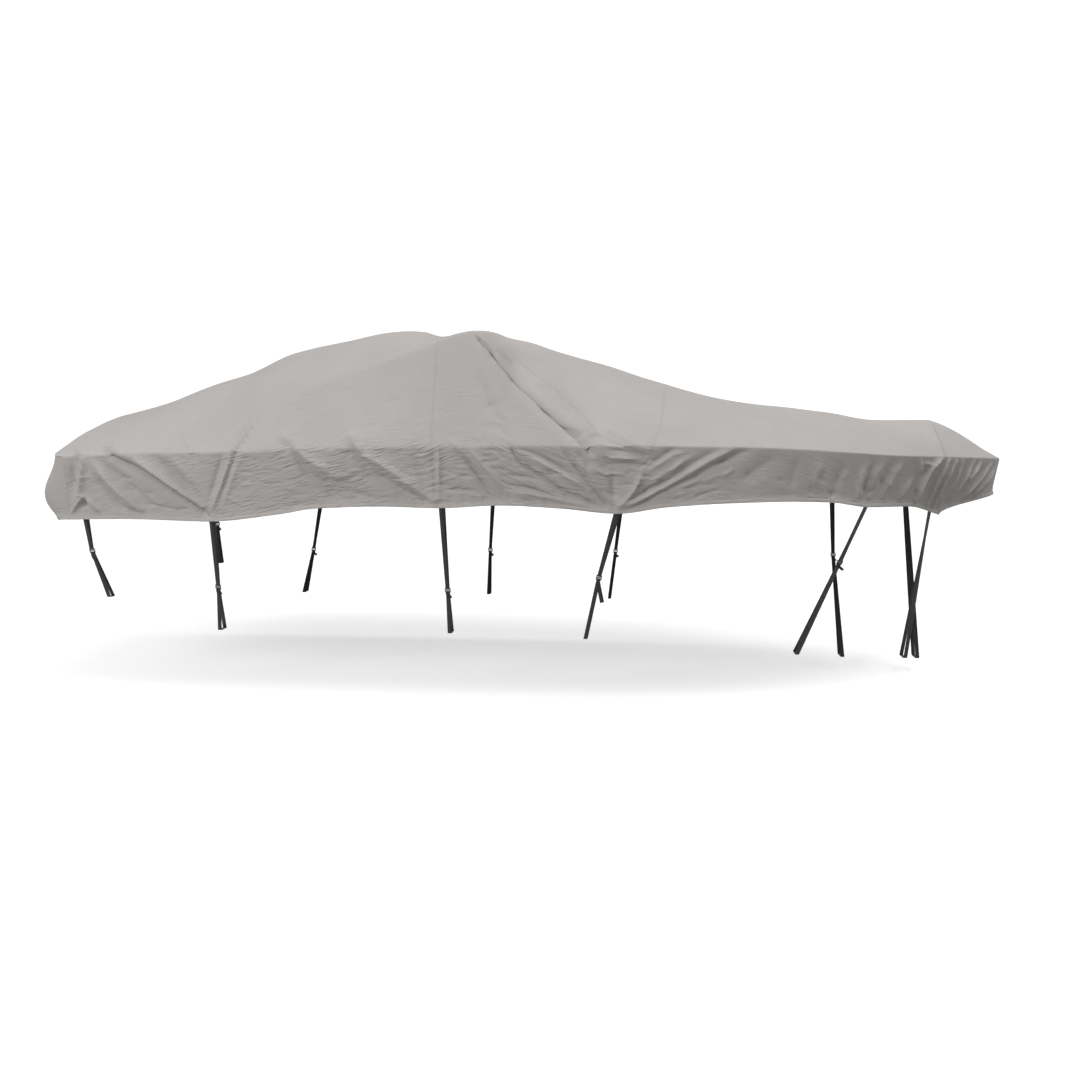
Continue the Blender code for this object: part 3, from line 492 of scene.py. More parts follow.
# fields of small wrinkles: a box on one side, their slope in degrees and how many
Wrinkles = namedtuple("Wrinkles", "side x1 z1 x2 z2 slope spread count length width height seed")
wrinkleFields = [
    Wrinkles(starboard, -0.85, -0.82, -0.10, -1.12, -8, 10, 30, 0.18, 0.0090, 0.0021, 11),
    Wrinkles(starboard, -0.15, -0.80, 0.36, -1.10, -8, 10, 24, 0.17, 0.0090, 0.0021, 12),
    Wrinkles(starboard, 0.40, -0.80, 0.78, -1.10, -5, 8, 28, 0.19, 0.0090, 0.0026, 13),
    Wrinkles(starboard, 0.80, -0.80, 1.40, -1.10, -18, 9, 26, 0.20, 0.0095, 0.0026, 14),
    Wrinkles(starboard, -1.88, -0.95, -1.05, -1.18, -24, 20, 26, 0.12, 0.0120, 0.0032, 15),
    Wrinkles(starboard, -0.60, -0.40, 0.75, -0.78, 5, 7, 30, 0.24, 0.018, 0.0016, 16),
    Wrinkles(starboard, 1.50, -0.82, 2.10, -1.06, 22, 12, 28, 0.17, 0.0110, 0.0032, 17),
    Wrinkles(starboard, 2.20, -0.92, 3.30, -1.08, 70, 26, 26, 0.09, 0.018, 0.0030, 18),
    Wrinkles(port, -0.85, -0.82, 0.36, -1.08, 3, 10, 60, 0.16, 0.015, 0.0040, 21),
    Wrinkles(port, 0.40, -0.82, 1.40, -1.10, -12, 12, 50, 0.16, 0.015, 0.0040, 22),
    Wrinkles(port, -1.88, -0.95, -1.05, -1.18, -20, 20, 26, 0.12, 0.016, 0.0034, 23),
    Wrinkles(port, -0.60, -0.45, 0.75, -0.78, 5, 8, 26, 0.22, 0.020, 0.0016, 24),
    Wrinkles(port, 1.50, -0.84, 2.20, -1.06, 20, 14, 26, 0.18, 0.015, 0.0034, 25),
    Wrinkles(port, 2.20, -0.92, 3.30, -1.08, 76, 24, 24, 0.09, 0.018, 0.0030, 26),
]

relief = {
    "bendSteps": 10,
    "foldDepth": 2.4,  # folds and wrinkles are this many times as high as their rows say
    "foldReach": 3.0,  # how far a fold spreads on each side of its line, in widths
    "foldFall": 1.65,  # how fast it falls away
    "foldFade": 0.35,  # share of its length over which it fades in and out
    "foldFree": 0.06,  # folds fade out over this height above the hem
    "shortest": 0.01,  # folds shorter than this are left out
    "crest": 0.4,  # how round a crest is, as a share of its width
    "billow": 0.0030,  # slow swells of the whole cloth
    "billowSize": 0.42,
    "hemBand": 0.022,  # height of the turned-up hem
    "hemPuff": 0.0022,
    "hemGather": 0.0028,
    "hemFlare": 0.013,  # how far the cloth turns outwards at its edge
    "flareTall": 0.045,
    "gatherSize": 0.030,
    "gatherAbove": 1.5,  # how much stronger the gathers are just above the turned-up hem
    "gatherFade": 0.035,
    "gatherStart": 0.006,
    "stitchDip": 0.0005,
    "stitchWide": 0.003,
    "puckerReach": 0.030,  # how far a seam draws the cloth on each side of it
    "puckerHeight": 0.0040,
    "puckerSize": 0.020,
    "groove": 0.0010,
    "grooveWide": 0.004,
    "seamFrom": 1.6,  # a cross seam is drawn in more and more from this level
    "seamFade": 0.4,  # until it is drawn in fully this much further down
    "dartPull": 1.5,
    "dartX": 0.79,
    "dartTop": 1.45,  # levels at which the dart starts and is full
    "dartFull": 1.85,
}

noiseCells = np.array([97, 89])  # the random table repeats after this many cells each way


def softNoise(a, b, seed):
    table = np.random.default_rng(seed).uniform(-1, 1, noiseCells)
    i, j = np.floor(a).astype(int), np.floor(b).astype(int)
    s, t = a - i, b - j
    s, t = s**3 * (s * (6 * s - 15) + 10), t**3 * (t * (6 * t - 15) + 10)
    i, i1 = i % noiseCells[0], (i + 1) % noiseCells[0]
    j, j1 = j % noiseCells[1], (j + 1) % noiseCells[1]
    near = table[i, j] * (1 - t) + table[i, j1] * t
    far = table[i1, j] * (1 - t) + table[i1, j1] * t
    return near * (1 - s) + far * s


def bentLine(start, halfway, end, bend):
    across = np.array([start[1] - end[1], end[0] - start[0]])
    middle = 2 * halfway - (start + end) / 2 + across * bend * 2
    s = np.linspace(0, 1, relief["bendSteps"])[:, None]
    return start * (1 - s) ** 2 + middle * 2 * s * (1 - s) + end * s**2


def addFold(lift, spots, line):  # line holds run, girth, width and height of each of its points
    reach = relief["foldReach"] * line[:, 2].max()
    low, high = line[:, :2].min(0) - reach, line[:, :2].max(0) + reach
    inside = np.all((spots > low) & (spots < high), axis=-1)
    if not inside.any():
        return
    near = spots[inside]
    gap = np.full(len(near), np.inf)
    width, height = np.ones(len(near)), np.zeros(len(near))
    for start, end in zip(line[:-1], line[1:]):
        leg, away = end[:2] - start[:2], near - start[:2]
        t = np.clip((away @ leg) / (leg @ leg), 0, 1)
        thisGap = np.linalg.norm(away - t[:, None] * leg, axis=1)
        closer = thisGap < gap
        gap = np.where(closer, thisGap, gap)
        width = np.where(closer, start[2] + t * (end[2] - start[2]), width)
        height = np.where(closer, start[3] + t * (end[3] - start[3]), height)
    crest, fall = relief["crest"], relief["foldFall"]
    lift[inside] += height * np.exp(crest - np.sqrt(crest**2 + (fall * gap / width) ** 2))


def wrinklesOf(field):  # the single folds of one field
    dice = np.random.default_rng(field.seed)
    for _ in range(field.count):
        x, z = dice.uniform(field.x1, field.x2), dice.uniform(field.z2, field.z1)
        slope = math.radians(field.slope + field.spread * dice.normal())
        half = field.length * dice.uniform(0.35, 1.0) / 2
        dx, dz = half * math.cos(slope), half * math.sin(slope)
        size = dice.uniform(0.5, 1.0)
        height = field.height * dice.uniform(0.5, 1.2) * dice.choice([1, -1, -1])
        bend = dice.uniform(-0.08, 0.08)
        width = field.width * (0.6 + 0.5 * size)
        yield Fold(field.side, x - dx, z - dz, x + dx, z + dz, bend, width, height, 0.0, 0.0)


def foldLines(allFolds):
    lines, before = [], None
    for fold in allFolds:
        start, end = spotOn(fold.side, fold.x1, fold.z1), spotOn(fold.side, fold.x2, fold.z2)
        if np.linalg.norm(end - start) < relief["shortest"]:
            continue
        halfway = spotOn(fold.side, (fold.x1 + fold.x2) / 2, (fold.z1 + fold.z2) / 2)
        s = np.linspace(0, 1, relief["bendSteps"])
        head = fold.start + (1 - fold.start) * smooth(s / relief["foldFade"])
        tail = fold.end + (1 - fold.end) * smooth((1 - s) / relief["foldFade"])
        heights = relief["foldDepth"] * fold.height * np.minimum(head, tail)
        leg = np.column_stack([bentLine(start, halfway, end, fold.bend), fold.width + 0 * s, heights])
        if before and (fold.side, fold.x1, fold.z1) == (before.side, before.x2, before.z2):
            lines[-1] = (fold.side, np.concatenate([lines[-1][1], leg[1:]]))
        else:
            lines.append((fold.side, leg))
        before = fold
    return lines


wrinkles = [wrinkle for field in wrinkleFields for wrinkle in wrinklesOf(field)]
creases = foldLines(folds) + foldLines(wrinkles)
print("folds and wrinkles:", len(creases))


def reliefAt(runs, girths):  # how far the folds stand off the plain surface
    lift = np.zeros(runs.shape)
    for side in (starboard, port):
        here = (girths < 0) if side < 0 else (girths >= 0)
        spots = np.stack([runs[here], -np.abs(girths[here])], axis=-1)
        sideLift = np.zeros(len(spots))
        for itsSide, line in creases:
            if itsSide == side:
                addFold(sideLift, spots, line)
        lift[here] = sideLift
    a, b = runs / relief["billowSize"], girths / relief["billowSize"]
    swell = softNoise(a, b + 9, 3) + 0.4 * softNoise(a * 2.3, b * 2.3, 4)
    return lift + relief["billow"] * swell


def puckers(alongs, gaps, amount, seed):  # little gathers and a groove at a seam
    size = relief["puckerSize"]
    ripple = softNoise(alongs / size, 0 * alongs, seed)
    ripple = ripple + 0.5 * softNoise(alongs / size * 2.1, 0 * alongs, seed)
    drawn = relief["puckerHeight"] * ripple * np.exp(-np.abs(gaps) / relief["puckerReach"])
    return amount * (drawn - relief["groove"] * np.exp(-((gaps / relief["grooveWide"]) ** 2)))


def seamRelief(xs, levels, girths):  # what the seams and the two side darts do to the cloth
    lift = 0.0 * xs
    skirted = 0.25 + 0.75 * smooth((np.abs(levels) - relief["seamFrom"]) / relief["seamFade"])
    for seed, seam in ((41, seamCurves["aft"]), (42, seamCurves["fore"])):
        lift += puckers(girths, xs - seam(levels), skirted, seed)
    rise = (np.abs(levels) - relief["dartTop"]) / (relief["dartFull"] - relief["dartTop"])
    return lift + puckers(girths, xs - relief["dartX"], relief["dartPull"] * smooth(rise), 43)


def hemShape(overHem, ripple):  # the turned-up hem, puffed and gathered by its elastic
    band = relief["hemBand"]
    over = np.maximum(overHem - band, 0)
    puff = np.sin(math.pi * np.clip(overHem / band, 0, 1)) ** 0.7
    above = np.exp(-over / relief["gatherFade"]) * (1 - np.exp(-over / relief["gatherStart"]))
    above = above * relief["gatherAbove"] * relief["hemGather"] * ripple
    stitched = -relief["stitchDip"] * np.exp(-(((overHem - band) / relief["stitchWide"]) ** 2))
    flare = relief["hemFlare"] * np.clip(1 - overHem / relief["flareTall"], 0, 1) ** 1.5
    inBand = puff * (relief["hemPuff"] + relief["hemGather"] * ripple)
    return np.where(overHem <= band, inBand, above) + stitched + flare


def hemRelief(runs, overHem, sides, quiet=1.0):
    size = relief["gatherSize"]
    ripple = softNoise(runs / size, sides * 3.0, 31) + 0.6 * softNoise(runs / size / 0.45, sides * 3.0, 32)
    return hemShape(overHem, ripple * quiet)


# materials

class Wire:  # a shader socket: sums and products of wires add their own Math nodes
    def __init__(self, finish, socket):
        self.finish, self.socket = finish, socket

    def maths(self, operation, *values):
        return self.finish.node("Math", {"operation": operation}, dict(enumerate(values)))

    def __add__(self, other):
        return self.maths("ADD", self, other)

    def __sub__(self, other):
        return self.maths("SUBTRACT", self, other)

    def __rsub__(self, other):
        return self.maths("SUBTRACT", other, self)

    def __mul__(self, other):
        return self.maths("MULTIPLY", self, other)

    def __pow__(self, other):
        return self.maths("POWER", self, other)

    def __abs__(self):
        return self.maths("ABSOLUTE", self)

    __radd__, __rmul__ = __add__, __mul__


class Finish:
    def __init__(self, name, roughness, **fixed):
        self.material = bpy.data.materials.new(name)
        self.material.use_nodes = True
        self.tree = self.material.node_tree
        self.shader = self.tree.nodes["Principled BSDF"]
        self.shader.inputs["Roughness"].default_value = roughness
        for socket, value in fixed.items():
            self.shader.inputs[socket.replace("_", " ")].default_value = value

    def node(self, kind, settings, sockets, out=0):
        made = self.tree.nodes.new("ShaderNode" + kind)
        for setting, value in settings.items():
            setattr(made, setting, value)
        for socket, value in sockets.items():
            if isinstance(value, Wire):
                self.tree.links.new(value.socket, made.inputs[socket])
            else:
                made.inputs[socket].default_value = value
        return Wire(self, made.outputs[out])

    def feed(self, socket, wire):
        self.tree.links.new(wire.socket, self.shader.inputs[socket])

    def split(self, vector):
        return [self.node("SeparateXYZ", {}, {0: vector}, out) for out in range(3)]

    def join(self, x, y, z=0.0):
        return self.node("CombineXYZ", {}, {0: x, 1: y, 2: z})

    def noise(self, vector, scale, detail=2.0, roughness=0.5):
        sockets = {"Vector": vector, "Scale": scale, "Detail": detail, "Roughness": roughness}
        return self.node("TexNoise", {}, sockets)

    def wave(self, value):
        return self.node("Math", {"operation": "SINE"}, {0: value})

    def limit(self, value, low, high):  # runs from 0 at low to 1 at high
        settings = {"interpolation_type": "SMOOTHSTEP"}
        return self.node("MapRange", settings, {0: value, 1: low, 2: high, 3: 0.0, 4: 1.0})

    def mix(self, share, first, second, blend="MIX"):
        sockets = {"Factor": share, 6: first, 7: second}
        return self.node("Mix", {"data_type": "RGBA", "blend_type": blend}, sockets, out=2)

    def bump(self, height, distance, strength=1.0, normal=None):
        sockets = {"Height": height, "Distance": distance, "Strength": strength}
        if normal:
            sockets["Normal"] = normal
        return self.node("Bump", {}, sockets)


canvas = {
    "colour": (0.442, 0.420, 0.404, 1.0),
    "faded": (0.472, 0.450, 0.434, 1.0),
    "dusty": (0.395, 0.373, 0.357, 1.0),
    "yarn": 0.0011,  # spacing of the yarns
    "yarnDepth": 0.00012,
    "crinkleDepth": 0.009,
    "roughness": 0.82,
    "specular": 0.25,
}


def makeCanvas():
    finish = Finish("greyCanvas", canvas["roughness"], Sheen_Weight=0.12, Sheen_Roughness=0.5)
    finish.shader.inputs["Specular IOR Level"].default_value = canvas["specular"]
    cloth = finish.node("UVMap", {"uv_map": "clothMap"}, {})
    run, girth, _ = finish.split(cloth)
    place = finish.node("TexCoord", {}, {}, out="Object")
    crinkled = finish.node("Attribute", {"attribute_name": "crinkled"}, {}, out="Fac")

    # plain weave: warp and weft pass over and under by turns
    turn = math.pi / canvas["yarn"]
    warp, weft = finish.wave(run * turn), finish.wave(girth * turn)
    weave = abs(warp) ** 0.6 + abs(weft) ** 0.6 + warp * weft * 0.4

    # short creases left by folding and packing, long along the boat
    wander = finish.noise(finish.join(run * 3.0, girth * 3.0), 1.0, 2.0)
    dashes = finish.noise(finish.join(run * 7.5 + wander * 1.6, girth * 38.0 + wander * 3.0), 1.0, 1.5)
    line = 1 - finish.limit(abs(dashes - 0.5) * 2, 0.0, 0.28)
    here = finish.limit(finish.noise(finish.join(run * 7.0, girth * 15.0), 1.0, 2.0), 0.42, 0.60)
    facets = abs(finish.noise(finish.join(run * 7.0 + wander * 2.0, girth * 21.0), 1.0, 2.0) - 0.5)
    crinkle = 1.4 * facets - line * (0.15 + 0.55 * here)
    soft = finish.noise(finish.join(run * 9.0, girth * 9.0), 1.0, 3.0)

    patchy = finish.limit(finish.noise(place, 1.7, 3.0), 0.3, 0.7)
    colour = finish.mix(patchy, canvas["colour"], canvas["faded"])
    dust = finish.limit(finish.noise(place, 11.0, 5.0, 0.65), 0.52, 0.78) * 0.35
    colour = finish.mix(dust, colour, canvas["dusty"])
    fleck = finish.noise(finish.join(run * 900.0, girth * 900.0), 1.0, 1.0)
    colour = finish.mix(finish.limit(fleck, 0.35, 0.7) * 0.16, colour, canvas["dusty"])
    finish.feed("Base Color", colour)
    finish.feed("Roughness", patchy * 0.06 + soft * 0.06 + (canvas["roughness"] - 0.06))

    normal = finish.bump(weave, canvas["yarnDepth"], 0.6)
    normal = finish.bump(soft, 0.004, 0.35, normal)
    normal = finish.bump(crinkle * crinkled, canvas["crinkleDepth"], 0.9, normal)
    finish.feed("Normal", normal)
    return finish.material


thread = {"colour": (0.33, 0.315, 0.30, 1.0), "dark": (0.26, 0.25, 0.24, 1.0), "twist": 1400.0}


def makeThread():
    finish = Finish("greyThread", 0.6)
    place = finish.node("TexCoord", {}, {}, out="Object")
    twist = finish.noise(place, thread["twist"], 1.0)
    shade = finish.mix(finish.limit(twist, 0.3, 0.7), thread["colour"], thread["dark"])
    finish.feed("Base Color", shade)
    finish.feed("Normal", finish.bump(twist, 0.0002, 0.6))
    return finish.material


webbing = {
    "width": 0.025,
    "thick": 0.0015,
    "edge": 0.0005,
    "ribs": 0.0026,
    "twill": 0.0017,
    "colour": (0.007, 0.007, 0.008, 1.0),
    "worn": (0.018, 0.018, 0.020, 1.0),
}


def makeWebbing():
    finish = Finish("blackWebbing", 0.72, Sheen_Weight=0.2)
    tape = finish.node("UVMap", {"uv_map": "tapeMap"}, {})
    across, along, _ = finish.split(tape)
    # a herringbone: the twill turns over at every rib
    rib = abs(finish.wave(across * (math.pi / webbing["ribs"])))
    slope = finish.node("Math", {"operation": "PINGPONG"}, {0: across, 1: webbing["ribs"]})
    twill = finish.wave((along + slope) * (2 * math.pi / webbing["twill"]))
    edge = finish.limit(abs(across - webbing["width"] / 2), 0.0105, 0.0125)
    place = finish.node("TexCoord", {}, {}, out="Object")
    rubbed = finish.limit(finish.noise(place, 60.0, 4.0, 0.6), 0.45, 0.75)
    share = rubbed * 0.35 + edge * 0.35 + finish.limit(twill, 0.3, 1.0) * 0.18
    finish.feed("Base Color", finish.mix(share, webbing["colour"], webbing["worn"]))
    finish.feed("Roughness", 0.66 + rubbed * 0.16)
    normal = finish.bump(twill, 0.00018, 0.7)
    finish.feed("Normal", finish.bump(rib, 0.0004, 0.7, normal))
    return finish.material


plastic = {"colour": (0.010, 0.010, 0.011, 1.0), "scuffed": (0.035, 0.035, 0.037, 1.0), "grain": 900.0}


def makePlastic():
    finish = Finish("blackPlastic", 0.42)
    place = finish.node("TexCoord", {}, {}, out="Object")
    grain = finish.noise(place, plastic["grain"], 2.0)
    scuffed = finish.limit(finish.noise(place, 90.0, 4.0, 0.6), 0.5, 0.75)
    finish.feed("Base Color", finish.mix(scuffed * 0.5, plastic["colour"], plastic["scuffed"]))
    finish.feed("Roughness", 0.36 + scuffed * 0.22)
    finish.feed("Normal", finish.bump(grain, 0.0002, 0.35))
    return finish.material


greyCanvas, greyThread = makeCanvas(), makeThread()
blackWebbing, blackPlastic = makeWebbing(), makePlastic()
print("materials made")


# cloth

def gridNormals(points):
    normals = np.cross(np.gradient(points, axis=0), np.gradient(points, axis=1))
    return normals / np.maximum(np.linalg.norm(normals, axis=-1, keepdims=True), 1e-12)


def makeObject(name, points, faces, material, uvName, uvs, attributes=None):
    mesh = bpy.data.meshes.new(name)
    mesh.from_pydata(points, [], faces)
    mesh.materials.append(material)
    corners = np.empty(len(mesh.loops), dtype=np.int32)
    mesh.loops.foreach_get("vertex_index", corners)
    uvMap = mesh.uv_layers.new(name=uvName)
    uvMap.data.foreach_set("uv", np.asarray(uvs, np.float32)[corners].ravel())
    for key, values in (attributes or {}).items():
        mesh.attributes.new(key, "FLOAT", "POINT").data.foreach_set("value", values.astype(np.float32))
    mesh.shade_smooth()
    mesh.set_sharp_from_angle(angle=math.radians(50))
    mesh.update()
    thing = bpy.data.objects.new(name, mesh)
    bpy.context.scene.collection.objects.link(thing)
    return thing


def clothShell(name, outer, thick, uvs, crinkled, fan=False):
    columns, rows = outer.shape[:2]
    normals = gridNormals(outer)
    if fan:
        normals[:, 0] = normals[:, 1].mean(axis=0) / np.linalg.norm(normals[:, 1].mean(axis=0))
    inner = outer - normals * thick[..., None]
    number = np.arange(columns * rows).reshape(columns, rows)
    if fan:
        number[:, 0] = number[0, 0]
    count = columns * rows
    a, b, c, d = number[:-1, :-1], number[1:, :-1], number[1:, 1:], number[:-1, 1:]
    outerFaces = np.stack([a, b, c, d], axis=-1).reshape(-1, 4)
    faces = outerFaces.tolist() + (outerFaces[:, ::-1] + count).tolist()
    last, end = columns - 1, rows - 1
    around = [(i, 0) for i in range(last)] + [(last, j) for j in range(end)]
    around += [(i, end) for i in range(last, 0, -1)] + [(0, j) for j in range(end, 0, -1)]
    if fan:
        around = around[last:]
    lips, lipUvs, loop = [], [], []
    for k, (i, j) in enumerate(around):
        step = np.array([min(max(i, 1), last - 1), min(max(j, 1), end - 1)])
        away = outer[i, j] - outer[step[0], step[1]]
        away = away / max(np.linalg.norm(away), 1e-9)
        lips.append((outer[i, j] + inner[i, j]) / 2 + away * thick[i, j] * cover["lip"])
        lipUvs.append(uvs[i, j])
        loop.append((number[i, j], 2 * count + k))
    for k in range(len(loop)):
        (v0, lip0), (v1, lip1) = loop[k], loop[(k + 1) % len(loop)]
        faces.append((v1, v0, lip0, lip1))
        faces.append((lip1, lip0, v0 + count, v1 + count))
    points = np.concatenate([outer.reshape(-1, 3), inner.reshape(-1, 3), np.array(lips)])
    allUvs = np.concatenate([uvs.reshape(-1, 2), uvs.reshape(-1, 2), np.array(lipUvs)])
    marks = np.concatenate([crinkled.ravel(), crinkled.ravel(), np.zeros(len(lips))])
    if fan:
        faces = [tuple(dict.fromkeys(face)) for face in faces]
        used = np.unique(np.concatenate([np.array(face) for face in faces]))
        renumber = np.full(len(points), -1)
        renumber[used] = np.arange(len(used))
        points, allUvs, marks = points[used], allUvs[used], marks[used]
        faces = [tuple(int(renumber[v]) for v in face) for face in faces if len(face) > 2]
    return makeObject(name, points, faces, greyCanvas, "clothMap", allUvs, {"crinkled": marks})


widths = {
    "bandRows": (0.030, 0.0265, 0.024, 0.022, 0.020, 0.0165, 0.012, 0.007, 0.003, 0.0),
    "rearSteps": (0.0, 0.002, 0.003, 0.0045, 0.0065, 0.009, 0.0115, 0.015, 0.020),
    "frontSteps": (-0.018, -0.012, -0.007, -0.003, 0.0, 0.005, 0.010),
    "lapWide": 0.0105,  # the front width laps this far over the one behind
    "lapRise": 0.0010,
    "lapEdge": 0.005,
    "lapDip": 0.0007,
    "dipWide": 0.008,
    "stretchEnds": (0.0, 0.55, 1.14, 1.94, 2.06),  # levels between which rows of mesh are even
    "spacingSteps": 400,
}

# rows of mesh in each stretch of one side, from ridge to hem; the creased side has more
Rows = namedtuple("Rows", "top shoulder side edge skirt")
starboardRows = Rows(14, 36, 40, 8, 60)
portRows = Rows(10, 20, 24, 6, 34)
bowRows = Rows(12, 14, 20, 8, 52)

# how far apart the columns of mesh stand, close together where folds are narrow and upright
Closeness = namedtuple("Closeness", "x spacing")
closeness = [
    Closeness(-2.00, 0.012),
    Closeness(-1.72, 0.012),
    Closeness(-1.66, 0.016),
    Closeness(-1.06, 0.016),
    Closeness(-1.00, 0.0085),
    Closeness(-0.74, 0.0085),
    Closeness(-0.68, 0.017),
    Closeness(0.20, 0.017),
    Closeness(0.34, 0.010),
    Closeness(0.50, 0.009),
    Closeness(1.50, 0.0085),
    Closeness(1.76, 0.012),
    Closeness(3.20, 0.0125),
    Closeness(3.30, 0.0075),
    Closeness(3.46, 0.0075),
]

seamCurves = {
    "aft": lambda levels: 0.33 + 0.02 * np.abs(levels),
    "fore": lambda levels: 1.755 - 0.055 * np.abs(levels),
    "bow": lambda levels: cover["bowSeamX"] + 0 * levels,
}


def levelRows(skirt, rows):  # levels of one side, ridge to hem; skirt is how deep the skirt hangs
    ends = widths["stretchEnds"]
    stretches = zip(ends, ends[1:], rows)
    fixed = np.concatenate([np.linspace(low, high, count, endpoint=False) for low, high, count in stretches])
    band = 3 - np.array(widths["bandRows"]) / skirt[:, None]
    share = np.linspace(0, 1, rows.skirt, endpoint=False)
    hanging = ends[-1] + (band[:, :1] - ends[-1]) * share
    return np.concatenate([np.broadcast_to(fixed, (len(skirt), len(fixed))), hanging, band], axis=1)


def columnShares(rear, front):  # shares of the way from one seam to the next, closer where told
    xs = np.linspace(rear, front, widths["spacingSteps"])
    spacing = np.interp(xs, [c.x for c in closeness], [c.spacing for c in closeness])
    passed = np.concatenate([[0], np.cumsum(np.diff(xs) * 2 / (spacing[1:] + spacing[:-1]))])
    count = int(passed[-1])
    return (np.interp(np.linspace(0, passed[-1], count), passed, xs) - rear) / (front - rear)


def sternEdgeX(ys, levels):  # the aft width ends at the corner seam, on top on a rounded edge
    inner = columnAt(stations, "railY", cover["cornerSeamX"]) - cover["cornerRadius"]
    past = np.clip(np.abs(ys) - inner, 0, cover["cornerRadius"])
    edge = cover["cornerSeamX"] - np.sqrt(cover["cornerRadius"] ** 2 - past**2)
    return np.where(np.abs(levels) >= 2, cover["cornerSeamX"], edge)


def aftRear(levels):
    guess = bodyPoint(cover["sternX"] + 0 * levels, levels)
    return sternEdgeX(guess[..., 1], levels)


creased = {
    "patchSize": 0.4,
    "patchSeed": 51,
    "aftMiddle": -0.2,  # the skirt is most creased round two places
    "aftSpread": 0.75,
    "foreMiddle": 1.0,
    "foreSpread": 0.5,
    "foreShare": 0.7,
    "everywhere": 0.04,
    "onSide": 0.22,
}


def crinkledAt(xs, runs, levels):  # how creased the canvas is, from 0 to 1
    patch = 0.5 + 0.5 * softNoise(runs / creased["patchSize"], levels * 2.0, creased["patchSeed"])
    skirt = smooth((np.abs(levels) - 1.9) / 0.15)
    side = smooth((np.abs(levels) - 0.8) / 0.6) * (1 - skirt)
    aft = np.exp(-(((xs - creased["aftMiddle"]) / creased["aftSpread"]) ** 2))
    fore = creased["foreShare"] * np.exp(-(((xs - creased["foreMiddle"]) / creased["foreSpread"]) ** 2))
    onSkirt = skirt * (0.25 + 0.75 * np.maximum(aft, fore)) * (0.4 + 0.6 * patch)
    return np.clip(creased["everywhere"] + creased["onSide"] * side * patch + onSkirt, 0, 1)


def clothThick(overHem):
    extra = cover["hemThick"] - cover["clothThick"]
    return cover["clothThick"] + extra * (1 - smooth((overHem - cover["hemTall"]) / cover["hemTaper"]))


def lapStep(fromSeam):  # a width stands a little proud where it laps over the one behind
    return widths["lapRise"] * (1 - smooth((fromSeam - widths["lapWide"]) / widths["lapEdge"]))


def makeWidth(name, rear, front, tuckEnd=widths["frontSteps"][-1]):
    rearSteps, frontSteps = np.array(widths["rearSteps"]), np.array(widths["frontSteps"])
    frontSteps = np.where(frontSteps > 0, frontSteps * tuckEnd / frontSteps[-1], frontSteps)
    midSkirt = np.array([2.5])
    inner = columnShares(rear(midSkirt)[0], front(midSkirt)[0])[1:-1]
    shares = np.concatenate([0 * rearSteps, inner, 1 + 0 * frontSteps])[:, None]
    between = rearSteps[-1] + (frontSteps[0] - rearSteps[-1]) * inner
    shifts = np.concatenate([rearSteps, between, frontSteps])[:, None]
    middle = (rear(midSkirt) * (1 - shares) + front(midSkirt) * shares + shifts)[:, 0]
    starboardLevels = levelRows(bodyMap.skirtDrop(middle, starboard), starboardRows)
    portLevels = levelRows(bodyMap.skirtDrop(middle, port), portRows)
    levels = np.concatenate([-starboardLevels[:, :0:-1], portLevels], axis=1)
    rears, fronts = rear(levels), front(levels)
    us = rears + (fronts - rears) * shares + shifts
    sides = np.where(levels < 0, -1.0, 1.0)
    base = bodyPoint(us, levels)
    normals = gridNormals(base)
    runs, girths = bodyMap.runAt(us), bodyMap.girthAt(us, levels)
    runs = runs + np.maximum(us - cover["bowSeamX"], 0)
    overHem = bodyMap.aboveHem(us, levels)
    folded = reliefAt(runs, girths) + seamRelief(us, levels, girths)
    lift = folded * smooth(overHem / relief["foldFree"]) + hemRelief(runs, overHem, sides)
    lift += lapStep(us - rears)
    lift -= widths["lapDip"] * smooth((us - fronts + widths["dipWide"]) / widths["dipWide"])
    outer = base + normals * lift[..., None]
    uvs = stack(runs, girths)
    return clothShell(name, outer, clothThick(overHem), uvs, crinkledAt(us, runs, levels)), outer


aftWidth, aftGrid = makeWidth("canvas_aft", aftRear, seamCurves["aft"])
middleWidth, middleGrid = makeWidth("canvas_middle", seamCurves["aft"], seamCurves["fore"])
foreWidth, foreGrid = makeWidth("canvas_fore", seamCurves["fore"], seamCurves["bow"], 0.006)
print("three widths made")

bowWidthPlan = {
    "spokes": 96,
    "samples": 200,
    "seamReach": 0.020,
    "firstTurn": 0.05,  # columns are close together from the bow seam to this turn
    "mostOfTurn": 0.4,
    "quietStem": 0.12,
    "calmLevel": 0.5,  # folds die out from this level to the ridge point
    "unroll": 0.62,  # radius at which the cloth map unrolls round the ridge point
}


